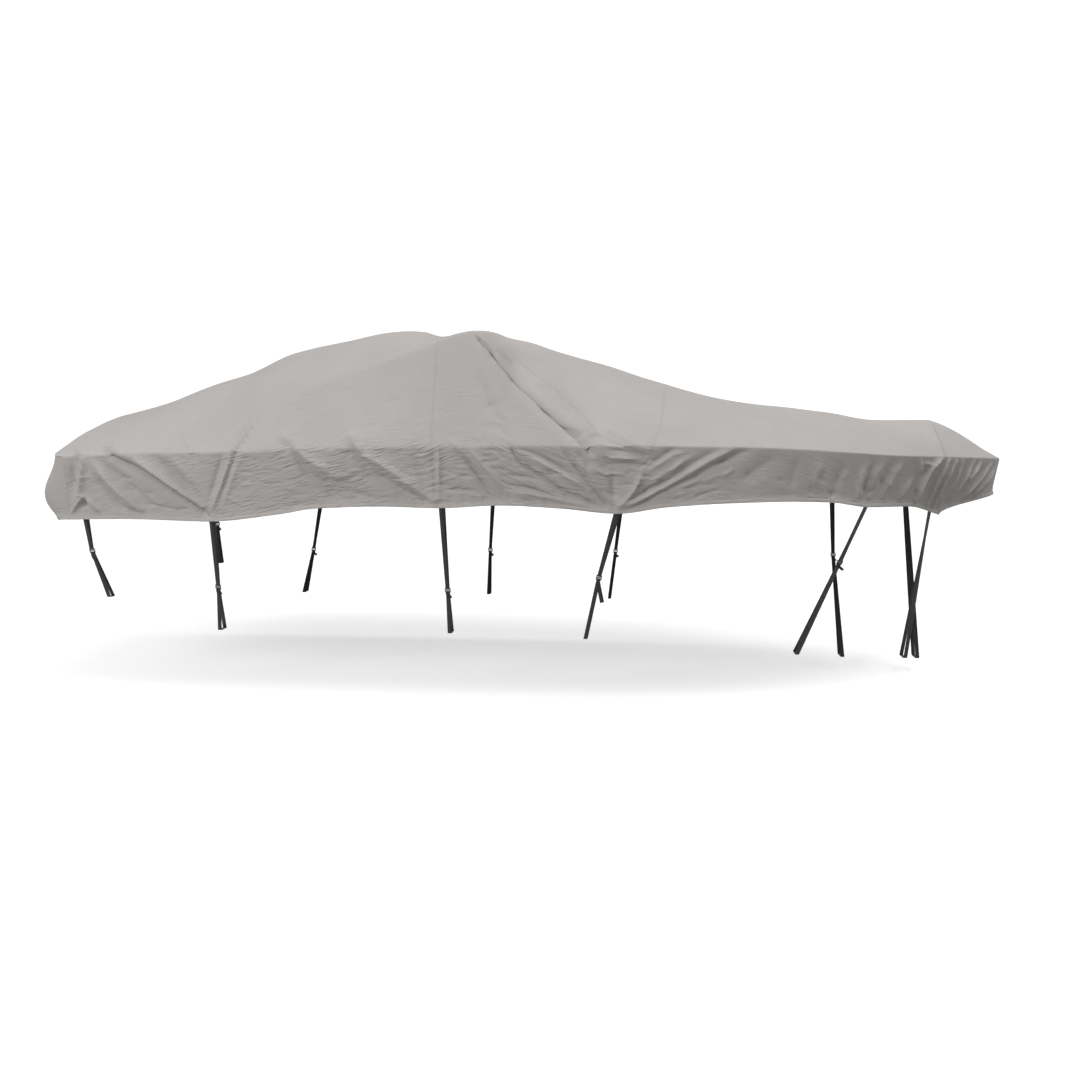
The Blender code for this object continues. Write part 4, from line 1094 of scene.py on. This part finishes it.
def makeBowWidth():
    firstTurn, samples = bowWidthPlan["firstTurn"], bowWidthPlan["samples"]
    steps = np.array(widths["rearSteps"]) / bowWidthPlan["seamReach"]
    inner = np.linspace(0, 1, bowWidthPlan["spokes"])[1:]
    evenTurns = np.interp(np.linspace(bowMap.runs[0], bowMap.runs[-1], samples), bowMap.runs, bowMap.us)
    turnsByColumn = np.concatenate([steps * firstTurn, firstTurn + (1 - firstTurn) * inner])
    oneSide = levelRows(bowMap.skirtDrop(turnsByColumn, starboard), bowRows)
    otherSide = levelRows(bowMap.skirtDrop(turnsByColumn, port), bowRows)
    grids = {}
    for side, rows in ((starboard, oneSide), (port, otherSide)):
        signed = side * np.maximum(rows, cover["offRidge"])
        near = bowPoint(firstTurn, signed[0]) - bowPoint(0.0, signed[0])
        first = bowWidthPlan["seamReach"] * firstTurn / np.maximum(near[:, 0], 1e-6)
        first = np.minimum(first, bowWidthPlan["mostOfTurn"])
        fromSeam = first * steps[:, None]
        rest = first + (1 - first) * np.interp(inner, np.linspace(0, 1, samples), evenTurns)[:, None]
        grids[side] = signed, np.concatenate([fromSeam, rest])
    levels = np.concatenate([grids[port][0], grids[starboard][0][-2::-1]])
    turns = np.concatenate([grids[port][1], grids[starboard][1][-2::-1]])
    sides = np.where(levels < 0, -1.0, 1.0)
    base = bowPoint(turns, levels)
    normals = gridNormals(base)
    normals[:, 0] = (0.0, 0.0, 1.0)
    runs, girths = bowMap.runAt(turns), bowMap.girthAt(turns, levels)
    overHem = bowMap.aboveHem(turns, levels)
    quiet = smooth((1 - turns) / bowWidthPlan["quietStem"])
    calm = quiet * smooth(np.abs(levels) / bowWidthPlan["calmLevel"])
    lift = reliefAt(runs, girths) * calm * smooth(overHem / relief["foldFree"])
    lift += hemRelief(runs, overHem, sides, quiet)
    lift += lapStep(base[..., 0] - cover["bowSeamX"])
    outer = base + normals * lift[..., None]
    angles = (runs - bowMap.runs[0]) / bowWidthPlan["unroll"]
    uvs = stack(bowMap.runs[0] + np.abs(girths) * np.sin(angles), girths * np.cos(angles))
    crinkled = crinkledAt(base[..., 0], runs, levels)
    return clothShell("canvas_bow", outer, clothThick(overHem), uvs, crinkled, fan=True), outer


bowWidth, bowGrid = makeBowWidth()

drop = {
    "bulge": 0.12,
    "bulgePower": 0.8,
    "sagPower": 1.6,
    "rake": 0.03,
    "hemRise": 0.004,
    "cornerLevel": 1.6,
    "columns": 190,
    "rows": 56,
    "tuck": (0.009, 0.005, 0.002),
    "pathRows": 161,
    "swell": 0.006,
    "swellSize": (0.36, 0.5),  # across and up
    "rippleSize": (0.13, 0.4),
    "swellSide": 0.12,  # the swell dies out this far inside the corners
    "swellTop": 0.15,
    "halfWide": 1.0,
    "fineGather": 0.014,
}


def transomPoint(levels, shares):  # shares run from 0 at the top edge to 1 at the hem
    sides = np.where(levels < 0, -1.0, 1.0)
    top = bodyPoint(aftRear(levels), levels)
    sized = np.abs(levels)
    portward = smooth((levels + 0.7) / 1.4)[..., None]
    corners = bodyKnots(cover["cornerSeamX"] + 0 * levels, 0 * sides - 1)[..., 3, :]
    portCorners = bodyKnots(cover["cornerSeamX"] + 0 * levels, 0 * sides + 1)[..., 3, :]
    hemZ = (corners * (1 - portward) + portCorners * portward)[..., 2]
    corner = np.clip((sized - drop["cornerLevel"]) / (2 - drop["cornerLevel"]), 0, 1)
    away = 1 - corner**2
    hemY = top[..., 1] * np.abs(corners[..., 1]) / columnAt(stations, "railY", cover["cornerSeamX"])
    hem = stack(top[..., 0] - drop["rake"] * away, hemY, hemZ + drop["hemRise"] * (1 - sized / 2))
    points = top + (hem - top) * shares[..., None]
    bulge = np.sin(math.pi * np.clip(shares, 0, 1) ** drop["sagPower"]) ** drop["bulgePower"]
    points[..., 0] -= drop["bulge"] * away * bulge
    return points


def makeTransomDrop():
    acrossLevels = np.linspace(-2, 2, drop["columns"])[::-1]
    # even steps across the transom rather than even levels
    topY = transomPoint(acrossLevels, 0 * acrossLevels)[:, 1]
    evenY = np.linspace(topY[-1], topY[0], drop["columns"])
    acrossLevels = np.interp(evenY, topY[::-1], acrossLevels[::-1])[::-1]
    tuck = np.array(drop["tuck"])
    fine = np.linspace(1, 0, drop["pathRows"])
    path = transomPoint(*np.meshgrid(acrossLevels, fine, indexing="ij"))
    lengths = np.cumsum(np.linalg.norm(np.diff(path, axis=1), axis=-1), axis=1)
    lengths = np.concatenate([0 * lengths[:, :1], lengths], axis=1)
    band = np.array(widths["bandRows"])[::-1]
    even = np.linspace(0, 1, drop["rows"])[1:]
    above = band[-1] + (lengths[:, -1:] - band[-1]) * even
    heights = np.concatenate([np.broadcast_to(band, (len(above), len(band))), above], axis=1)
    downs = np.array([np.interp(height, length, fine) for height, length in zip(heights, lengths)])
    levels = np.broadcast_to(acrossLevels[:, None], downs.shape)
    base = transomPoint(levels, downs)
    # it runs on under the aft width at its top and its two sides
    edge = aftRear(acrossLevels)
    tucked = [bodyPoint(edge + step, acrossLevels) for step in tuck[::-1]]
    base = np.concatenate([base, np.stack(tucked, axis=1)], axis=1)
    heights = np.concatenate([heights, heights[:, -1:] + tuck[::-1]], axis=1)
    for side, column in ((port, 0), (starboard, -1)):
        down = side * (2 + np.concatenate([downs[column], 0 * tuck]))
        forward = np.concatenate([0 * downs[column], tuck[::-1]])
        flap = np.stack([bodyPoint(cover["cornerSeamX"] + step + forward, down) for step in tuck[::-1]])
        base = np.concatenate([flap[::-1], base]) if side == port else np.concatenate([base, flap])
    heights = np.pad(heights, ((3, 3), (0, 0)), mode="edge")
    normals = gridNormals(base)
    ys, zs = base[..., 1], base[..., 2]
    wide, tall = drop["swellSize"]
    swell = softNoise(ys / wide + 5, zs / tall, 61)
    wide, tall = drop["rippleSize"]
    swell = swell + 0.5 * softNoise(ys / wide, zs / tall, 62)
    gather = softNoise(ys / relief["gatherSize"], 0 * zs, 63)
    gather = gather + 0.6 * softNoise(ys / drop["fineGather"], 0 * zs, 64)
    inside = smooth((drop["halfWide"] - np.abs(ys)) / drop["swellSide"])
    inside = inside * smooth((-0.02 - (zs - base[:, -4:-3, 2])) / drop["swellTop"])
    lift = drop["swell"] * swell * inside * smooth(heights / relief["foldFree"])
    lift += hemShape(heights, gather)
    underTop = np.zeros(base.shape[:2])
    underTop[:, -3:] = 1
    underTop[:3] = underTop[-3:] = 1
    underTop[:, -4], underTop[3], underTop[-4] = 1, 1, 1
    lift -= widths["lapDip"] * underTop
    outer = base + normals * lift[..., None]
    uvs = stack(ys, zs)
    crinkled = 0.12 + 0.3 * smooth((softNoise(ys / 0.3, zs / 0.3, 65) + 0.4))
    return clothShell("canvas_transom", outer, clothThick(heights), uvs, crinkled), outer


transomDrop, dropGrid = makeTransomDrop()
print("bow and transom made")


# stitches, laid by Geometry Nodes along lines on the finished cloth

stitches = {"pitch": 0.0058, "length": 0.0042, "thickness": 0.00045, "rise": 0.0007, "seed": 5}
hemRow = len(widths["bandRows"]) - 1 - widths["bandRows"].index(relief["hemBand"])
seamColumns = [widths["rearSteps"].index(step) for step in (0.003, 0.009)]


def stitchLines():
    lines = []
    for grid in (aftGrid, middleGrid, foreGrid):
        normals = gridNormals(grid)
        lines += [(grid[i], normals[i]) for i in seamColumns]
        lines += [(grid[:-3, j], normals[:-3, j]) for j in (hemRow, -1 - hemRow)]
    normals = gridNormals(bowGrid)
    lines += [(bowGrid[i, 6:], normals[i, 6:]) for i in seamColumns + [-1 - i for i in seamColumns]]
    lines.append((bowGrid[:, -1 - hemRow], normals[:, -1 - hemRow]))
    lines.append((dropGrid[3:-3, hemRow], gridNormals(dropGrid)[3:-3, hemRow]))
    return lines


class Nodes:  # a Geometry Nodes tree under construction
    def __init__(self, name):
        self.tree = bpy.data.node_groups.new(name, "GeometryNodeTree")
        self.named = {}
        self.socket("Geometry", "NodeSocketGeometry", "OUTPUT")
        self.socket("Lines", "NodeSocketGeometry", "INPUT")
        self.start = self.tree.nodes.new("NodeGroupInput")

    def socket(self, name, kind, way="INPUT"):
        made = self.tree.interface.new_socket(name=name, in_out=way, socket_type=kind)
        self.named[name] = made.identifier
        return name

    def given(self, name):
        return self.start.outputs[name]

    def node(self, kind, settings, sockets, out=0):
        made = self.tree.nodes.new(kind)
        for setting, value in settings.items():
            setattr(made, setting, value)
        for socket, value in sockets.items():
            if isinstance(value, bpy.types.NodeSocket):
                self.tree.links.new(value, made.inputs[socket])
            else:
                made.inputs[socket].default_value = value
        return made.outputs[out]


def stitchTree():
    nodes = Nodes("stitchRun")
    for name in ("Pitch", "Length", "Thickness", "Rise"):
        nodes.socket(name, "NodeSocketFloat")
    nodes.socket("Seed", "NodeSocketInt")
    nodes.socket("Thread", "NodeSocketMaterial")
    half = nodes.node("ShaderNodeMath", {"operation": "MULTIPLY"}, {0: nodes.given("Length"), 1: 0.5})
    back = nodes.node("ShaderNodeMath", {"operation": "MULTIPLY"}, {0: nodes.given("Length"), 1: -0.5})
    sunk = nodes.node("ShaderNodeMath", {"operation": "MULTIPLY"}, {0: nodes.given("Thickness"), 1: -0.8})
    start = nodes.node("ShaderNodeCombineXYZ", {}, {0: back, 2: sunk})
    middle = nodes.node("ShaderNodeCombineXYZ", {}, {2: nodes.given("Rise")})
    end = nodes.node("ShaderNodeCombineXYZ", {}, {0: half, 2: sunk})
    bent = nodes.node("GeometryNodeCurveQuadraticBezier", {}, {0: 3, 1: start, 2: middle, 3: end})
    ring = nodes.node("GeometryNodeCurvePrimitiveCircle", {}, {0: 3, 4: nodes.given("Thickness")})
    swept = {"Curve": bent, "Profile Curve": ring, "Fill Caps": True}
    stitch = nodes.node("GeometryNodeCurveToMesh", {}, swept)
    curve = nodes.node("GeometryNodeMeshToCurve", {}, {0: nodes.given("Lines")})
    pitch = {"Curve": curve, "Length": nodes.given("Pitch")}
    resampled = nodes.node("GeometryNodeResampleCurve", {"mode": "LENGTH"}, pitch)
    tangent = nodes.node("GeometryNodeInputTangent", {}, {})
    vector = {"data_type": "FLOAT_VECTOR"}
    outward = nodes.node("GeometryNodeInputNamedAttribute", vector, {"Name": "outward"})
    axes = {"primary_axis": "X", "secondary_axis": "Z"}
    turn = nodes.node("FunctionNodeAxesToRotation", axes, {0: tangent, 1: outward})
    jitter = {"Seed": nodes.given("Seed"), "Min": (0.88, 0.9, 0.8), "Max": (1.06, 1.1, 1.2)}
    scale = nodes.node("FunctionNodeRandomValue", vector, jitter)
    laid = {"Points": resampled, "Instance": stitch, "Rotation": turn, "Scale": scale}
    placed = nodes.node("GeometryNodeInstanceOnPoints", {}, laid)
    real = nodes.node("GeometryNodeRealizeInstances", {}, {0: placed})
    dyed = {"Geometry": real, "Material": nodes.given("Thread")}
    finished = nodes.node("GeometryNodeSetMaterial", {}, dyed)
    result = nodes.tree.nodes.new("NodeGroupOutput")
    nodes.tree.links.new(finished, result.inputs[0])
    return nodes


def makeStitches():
    points, outwards, edges = [], [], []
    for line, normals in stitchLines():
        first = len(points)
        points += [tuple(p) for p in line]
        outwards += [tuple(n) for n in normals]
        edges += [(first + k, first + k + 1) for k in range(len(line) - 1)]
    mesh = bpy.data.meshes.new("stitchLines")
    mesh.from_pydata(points, edges, [])
    outward = mesh.attributes.new("outward", "FLOAT_VECTOR", "POINT")
    outward.data.foreach_set("vector", np.array(outwards).ravel())
    guide = bpy.data.objects.new("stitchLines", mesh)
    bpy.context.scene.collection.objects.link(guide)
    nodes = stitchTree()
    run = guide.modifiers.new("stitchRun", "NODES")
    run.node_group = nodes.tree
    for name in ("Pitch", "Length", "Thickness", "Rise", "Seed"):
        run[nodes.named[name]] = stitches[name.lower()]
    run[nodes.named["Thread"]] = greyThread
    made = bpy.data.meshes.new_from_object(guide.evaluated_get(bpy.context.evaluated_depsgraph_get()))
    bpy.data.objects.remove(guide, do_unlink=True)
    made.shade_smooth()
    seams = bpy.data.objects.new("seam_stitches", made)
    bpy.context.scene.collection.objects.link(seams)
    print("stitches:", len(made.polygons), "faces")
    return seams


seamStitches = makeStitches()


# tie-downs: a loop sewn in the hem, a buckle, and the run round the beam below

tie = {
    "clearance": 0.0008,
    "bowEase": 0.0006,
    "bowCurveX": 2.5,
    "sewnLevel": 2.9,
    "loopSpread": 0.014,
    "loopDepth": 0.006,
    "slotDrop": 0.0068,
    "slotFace": 0.0033,
    "longBend": 0.012,
    "tightBend": 0.0035,
    "loopClose": 0.020,
    "runOpens": 0.022,
    "endLiesFrom": 0.040,
    "endStops": 0.018,
    "tailTurn": 0.026,
    "tailLift": 0.0075,
    "tailStepX": 0.02,
    "tailStepY": 0.012,
    "tailStart": 0.018,
    "stationSpace": 0.012,
    "cornerSteps": 6,
    "cornerLeg": 2.1,  # a corner takes up at most one part in this of a leg
    "sheetThick": 0.002,
    "hemSpan": 0.03,
}

# a buckleZ of nought marks a strap with no buckle
TieDown = namedtuple("TieDown", "name side hemX buckleX buckleY buckleZ beamX beamY beamZ beam tail")
tieDowns = [
    TieDown("starboard_1", starboard, -1.81, -1.80, 0.970, -1.420, -1.74, 0.900, -1.720, 0.05, 0.03),
    TieDown("starboard_2", starboard, -0.98, -1.01, 0.940, -1.640, -1.05, 0.840, -1.930, 0.08, 0.03),
    TieDown("starboard_3", starboard, 0.42, 0.43, 0.945, -1.640, 0.42, 0.840, -1.925, 0.08, 0.03),
    TieDown("starboard_4", starboard, 1.445, 1.345, 0.960, -1.550, 1.26, 0.840, -1.945, 0.08, 0.13),
    TieDown("starboard_5", starboard, 2.93, 2.82, 0.550, -1.490, 2.65, 0.055, -2.180, 0.11, 0.03),
    TieDown("starboard_6", starboard, 3.40, 0.0, 0.0, 0.0, 3.36, 0.055, -2.190, 0.11, 0.0),
    TieDown("port_1", port, -1.81, -1.80, 0.970, -1.420, -1.74, 0.900, -1.720, 0.05, 0.03),
    TieDown("port_2", port, -0.98, -1.00, 0.940, -1.610, -1.03, 0.840, -1.930, 0.08, 0.03),
    TieDown("port_3", port, 0.42, 0.42, 0.945, -1.600, 0.43, 0.840, -1.925, 0.08, 0.03),
    TieDown("port_4", port, 1.445, 1.40, 0.950, -1.600, 1.36, 0.840, -1.945, 0.08, 0.03),
    TieDown("port_5", port, 2.98, 2.97, 0.500, -1.560, 2.95, 0.055, -2.190, 0.11, 0.03),
    TieDown("port_6", port, 3.42, 0.0, 0.0, 0.0, 3.44, 0.055, -2.190, 0.11, 0.0),
]

Stop = namedtuple("Stop", "point across")


def rounded(stops, radius):  # corners turned into arcs, long legs divided
    route, steps = [stops[0]], tie["cornerSteps"]
    for before, corner, after in zip(stops, stops[1:], stops[2:]):
        toBefore, toAfter = before.point - corner.point, after.point - corner.point
        reach = min(radius, toBefore.length / tie["cornerLeg"], toAfter.length / tie["cornerLeg"])
        start = corner.point + toBefore.normalized() * reach
        end = corner.point + toAfter.normalized() * reach
        for k in range(steps + 1):
            s = k / steps
            point = start * (1 - s) ** 2 + corner.point * 2 * s * (1 - s) + end * s**2
            route.append(Stop(point, corner.across))
    route.append(stops[-1])
    fine = [route[0]]
    for before, after in zip(route, route[1:]):
        legs = max(1, int((after.point - before.point).length / tie["stationSpace"]))
        for k in range(1, legs + 1):
            share = k / legs
            across = before.across.lerp(after.across, share)
            fine.append(Stop(before.point.lerp(after.point, share), across))
    return fine


def makeTape(name, route):
    half, thick, edge = webbing["width"] / 2, webbing["thick"] / 2, webbing["edge"]
    outline = [(-half, -thick * 0.4), (-half + edge, -thick), (half - edge, -thick), (half, -thick * 0.4)]
    outline += [(-a, -b) for a, b in outline]
    points, uvs, faces, along = [], [], [], 0.0
    for k, stop in enumerate(route):
        ahead, behind = route[min(k + 1, len(route) - 1)].point, route[max(k - 1, 0)].point
        run = (ahead - behind).normalized()
        across = (stop.across - run * stop.across.dot(run)).normalized()
        face = run.cross(across)
        along += (stop.point - behind).length
        for a, b in outline:
            points.append(stop.point + across * a + face * b)
            uvs.append((a + half, along))
    corners = len(outline)
    for k in range(len(route) - 1):
        for m in range(corners):
            a, b = k * corners + m, k * corners + (m + 1) % corners
            faces.append((a, a + corners, b + corners, b))
    faces.append(tuple(range(corners)))
    faces.append(tuple(reversed(range(len(points) - corners, len(points)))))
    return makeObject(name, points, faces, blackWebbing, "tapeMap", uvs)


def hemStop(x, side, level, deeper=0.0):
    def clothAt(place):
        return Vector(bodyPoint(place, side * level))

    alongHem = clothAt(x + tie["hemSpan"]) - clothAt(x - tie["hemSpan"])
    alongHem.z = 0.0
    alongHem.normalize()
    inward = Vector((side * alongHem.y, -side * alongHem.x, 0.0))
    ease = tie["bowEase"] if x > tie["bowCurveX"] else 0.0
    away = tie["sheetThick"] + webbing["thick"] / 2 + tie["clearance"] + ease + deeper
    return Stop(clothAt(x) + inward * away, alongHem)


def makeTieDown(plan):
    side = plan.side
    upper, lower = hemStop(plan.hemX, side, tie["sewnLevel"]), hemStop(plan.hemX, side, 3)
    backUpper = hemStop(plan.hemX + tie["loopSpread"], side, tie["sewnLevel"], tie["loopDepth"])
    backLower = hemStop(plan.hemX + tie["loopSpread"], side, 3, tie["loopDepth"])
    beamFront = Vector((plan.beamX, side * plan.beamY, plan.beamZ))
    alongBoat = Vector((1.0, 0.0, 0.0))
    front = Stop(beamFront, alongBoat)
    back = Stop(beamFront + Vector((0.0, -side * plan.beam, 0.0)), alongBoat)
    if plan.buckleZ == 0.0:
        stops = [upper, lower, front, back, backLower, backUpper]
        return [(makeTape("webbing_" + plan.name, rounded(stops, tie["longBend"])), "strap_" + plan.name)]
    centre = Vector((plan.buckleX, side * plan.buckleY, plan.buckleZ))
    down = (beamFront - lower.point).normalized()
    across = (alongBoat - down * down.x).normalized()
    outward = down.cross(across)
    if outward.y * side < 0:
        outward = -outward

    def near(along, out):
        return Stop(centre + down * along + outward * out, across)

    slot, face = tie["slotDrop"], tie["slotFace"]
    loop = [upper, lower, near(-tie["loopClose"], face), near(-slot, face), near(-slot, -face)]
    loop += [near(-tie["loopClose"], -face), backLower, backUpper]
    tailStep = Vector((tie["tailStepX"], side * tie["tailStepY"], -tie["tailStart"] - plan.tail))
    run = [Stop(centre + tailStep, across), near(tie["tailTurn"], tie["tailLift"])]
    run += [near(slot, face), near(slot, -face), near(tie["runOpens"], -face), back, front]
    run += [near(tie["endLiesFrom"], 0.0), near(tie["endStops"], 0.0)]
    loopTape = makeTape("webbing_loop_" + plan.name, rounded(loop, tie["tightBend"]))
    runTape = makeTape("webbing_" + plan.name, rounded(run, tie["tightBend"]))
    turn = Matrix((across, down, outward)).transposed()
    if turn.determinant() < 0:
        turn = Matrix((-across, down, outward)).transposed()
    slide = bpy.data.objects.new("slide_" + plan.name, buckleMesh.copy())
    slide.data.transform(Matrix.Translation(centre) @ turn.to_4x4())
    bpy.context.scene.collection.objects.link(slide)
    made = ((loopTape, "strap_loop_"), (runTape, "strap_"), (slide, "buckle_"))
    return [(piece, nodeStart + plan.name) for piece, nodeStart in made]


buckle = {
    "width": 0.036, "height": 0.031, "thick": 0.004, "corner": 0.004,
    "slotWidth": 0.028, "slotHeight": 0.0065, "slotCorner": 0.001, "bevel": 0.0007,
    "ribWidth": 0.024, "ribThick": 0.0006, "ribPlace": 0.0128, "ribPitch": 0.0013,
}


def outlineRing(curve, width, height, centreY, corner):
    spline = curve.splines.new("POLY")
    points = []
    for quarter in range(4):
        cx = (width / 2 - corner) * (1 if quarter in (0, 3) else -1)
        cy = (height / 2 - corner) * (1 if quarter in (0, 1) else -1) + centreY
        for angle in np.linspace(0, math.pi / 2, 5) + math.pi / 2 * quarter:
            points.append((cx + corner * math.cos(angle), cy + corner * math.sin(angle)))
    spline.points.add(len(points) - 1)
    for target, (x, y) in zip(spline.points, points):
        target.co = (x, y, 0.0, 1.0)
    spline.use_cyclic_u = True


def makeBuckle():
    curve = bpy.data.curves.new("buckleOutline", "CURVE")
    curve.dimensions, curve.fill_mode = "2D", "BOTH"
    curve.bevel_depth, curve.bevel_resolution = buckle["bevel"], 2
    curve.extrude, curve.offset = buckle["thick"] / 2 - buckle["bevel"], -buckle["bevel"]
    outlineRing(curve, buckle["width"], buckle["height"], 0.0, buckle["corner"])
    for way in (1, -1):
        slotY = way * buckle["slotHeight"]
        outlineRing(curve, buckle["slotWidth"], buckle["slotHeight"], slotY, buckle["slotCorner"])
    outline = bpy.data.objects.new("buckleOutline", curve)
    bpy.context.scene.collection.objects.link(outline)
    mesh = bpy.data.meshes.new_from_object(outline.evaluated_get(bpy.context.evaluated_depsgraph_get()))
    bpy.data.objects.remove(outline, do_unlink=True)
    shape = bmesh.new()
    shape.from_mesh(mesh)
    bmesh.ops.remove_doubles(shape, verts=shape.verts, dist=0.00001)
    # grip ribs across the top and bottom bars
    for way in (1, -1):
        for k in (-1, 0, 1):
            made = bmesh.ops.create_cube(shape, size=1.0)
            ribY = way * buckle["ribPlace"] + k * buckle["ribPitch"]
            place = Matrix.Translation((0.0, ribY, buckle["thick"] / 2))
            size = Matrix.Diagonal((buckle["ribWidth"], buckle["ribThick"], buckle["ribThick"], 1.0))
            bmesh.ops.transform(shape, matrix=place @ size, verts=made["verts"])
    bmesh.ops.recalc_face_normals(shape, faces=shape.faces)
    shape.to_mesh(mesh)
    shape.free()
    mesh.materials.clear()
    mesh.materials.append(blackPlastic)
    mesh.shade_smooth()
    mesh.set_sharp_from_angle(angle=math.radians(40))
    return mesh


buckleMesh = makeBuckle()
tiePieces = [piece for plan in tieDowns for piece in makeTieDown(plan)]
print("tie-downs made:", len(tiePieces))

# every piece stands for its CAD node

cutSizes = {  # estimated width and length of each cloth laid flat, and its flat area
    aftWidth: ("aft_width", (3.80, 2.50), 8.0),
    middleWidth: ("middle_width", (3.60, 1.60), 4.8),
    foreWidth: ("fore_width", (3.10, 1.98), 4.7),
    bowWidth: ("bow_width", (1.35, 0.72), 0.66),
    transomDrop: ("transom_drop", (2.20, 0.80), 1.35),
}
for piece, (node, flat, area) in cutSizes.items():
    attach(piece, "root")
    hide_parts(node)
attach(seamStitches, "root")
for piece, node in tiePieces:
    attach(piece, "root")
    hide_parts(node)

# stage

stage = {
    "floorZ": -2.28,
    "nearY": -30.0,
    "wallY": 8.0,
    "wallCurve": 3.0,
    "wallTop": 11.0,
    "sides": (-28.0, 30.0),
    "paper": (0.90, 0.90, 0.90, 1.0),
    "glow": 0.45,
    "fill": 0.31,  # light of the room itself
    "beyond": 0.95,  # how pale the room looks past the floor
}
view = {"place": (1.58, -7.12, -0.705), "tilt": 84.254, "turn": 5.447, "lens": 34.78}

Lamp = namedtuple("Lamp", "name place aim size watts")
lamps = [
    Lamp("key", (-4.0, -7.6, 3.1), (0.8, 0.0, -0.8), (4.0, 4.0), 400),
    Lamp("topLight", (0.9, -3.0, 7.0), (0.8, 0.0, -0.8), (5.0, 3.0), 120),
    Lamp("bowLight", (6.8, -1.2, 5.8), (2.0, 0.0, -0.8), (4.0, 4.0), 250),
    Lamp("wallLight", (0.9, 3.5, 7.0), (0.9, 8.0, 1.0), (30.0, 2.0), 450),
]


def makeStage():  # a wide pale floor that curves up into a wall behind
    far, curve = stage["wallY"], stage["wallCurve"]
    profile = [(stage["nearY"], 0.0), (far - curve, 0.0)]
    arc = np.linspace(0.15, math.pi / 2, 10)
    profile += [(far - curve + curve * math.sin(a), curve - curve * math.cos(a)) for a in arc]
    profile += [(far, stage["wallTop"])]
    points = [(x, y, stage["floorZ"] + up) for y, up in profile for x in stage["sides"]]
    faces = [(2 * k, 2 * k + 1, 2 * k + 3, 2 * k + 2) for k in range(len(profile) - 1)]
    paper = Finish("paleFloor", 0.9)
    paper.shader.inputs["Base Color"].default_value = stage["paper"]
    paper.shader.inputs["Emission Color"].default_value = (1.0, 1.0, 1.0, 1.0)
    paper.shader.inputs["Emission Strength"].default_value = stage["glow"]
    mesh = bpy.data.meshes.new("floor")
    mesh.from_pydata(points, [], faces)
    mesh.materials.append(paper.material)
    mesh.shade_smooth()
    floor = bpy.data.objects.new("floor", mesh)
    bpy.context.scene.collection.objects.link(floor)
    floor.visible_diffuse = False  # so that it does not fill the folds from below


def makeLamp(lamp):
    light = bpy.data.lights.new(lamp.name, "AREA")
    light.shape = "RECTANGLE"
    light.size, light.size_y = lamp.size
    light.energy = lamp.watts
    made = bpy.data.objects.new(lamp.name, light)
    made.location = lamp.place
    made.rotation_euler = (Vector(lamp.aim) - Vector(lamp.place)).to_track_quat("-Z", "Y").to_euler()
    bpy.context.scene.collection.objects.link(made)


def makeCamera():
    lens = bpy.data.cameras.new("camera")
    lens.lens, lens.sensor_width = view["lens"], 36.0
    lens.clip_end = 200.0
    camera = bpy.data.objects.new("camera", lens)
    camera.location = view["place"]
    camera.rotation_euler = (math.radians(view["tilt"]), 0.0, math.radians(view["turn"]))
    bpy.context.scene.collection.objects.link(camera)
    bpy.context.scene.camera = camera


def makeRoom():  # the room is paler where the camera sees it than as a light
    world = bpy.data.worlds.new("world")
    world.use_nodes = True
    nodes, links = world.node_tree.nodes, world.node_tree.links
    seen = nodes.new("ShaderNodeLightPath")
    strength = nodes.new("ShaderNodeMapRange")
    strength.inputs["To Min"].default_value = stage["fill"]
    strength.inputs["To Max"].default_value = stage["beyond"]
    links.new(seen.outputs["Is Camera Ray"], strength.inputs["Value"])
    links.new(strength.outputs["Result"], nodes["Background"].inputs["Strength"])
    nodes["Background"].inputs["Color"].default_value = (1.0, 1.0, 1.0, 1.0)
    bpy.context.scene.world = world


makeStage()
makeCamera()
makeRoom()
for lamp in lamps:
    makeLamp(lamp)
bpy.context.scene.view_settings.view_transform = "Standard"
print("stage, camera and", len(lamps), "lamps made")

bpy.context.view_layer.update()
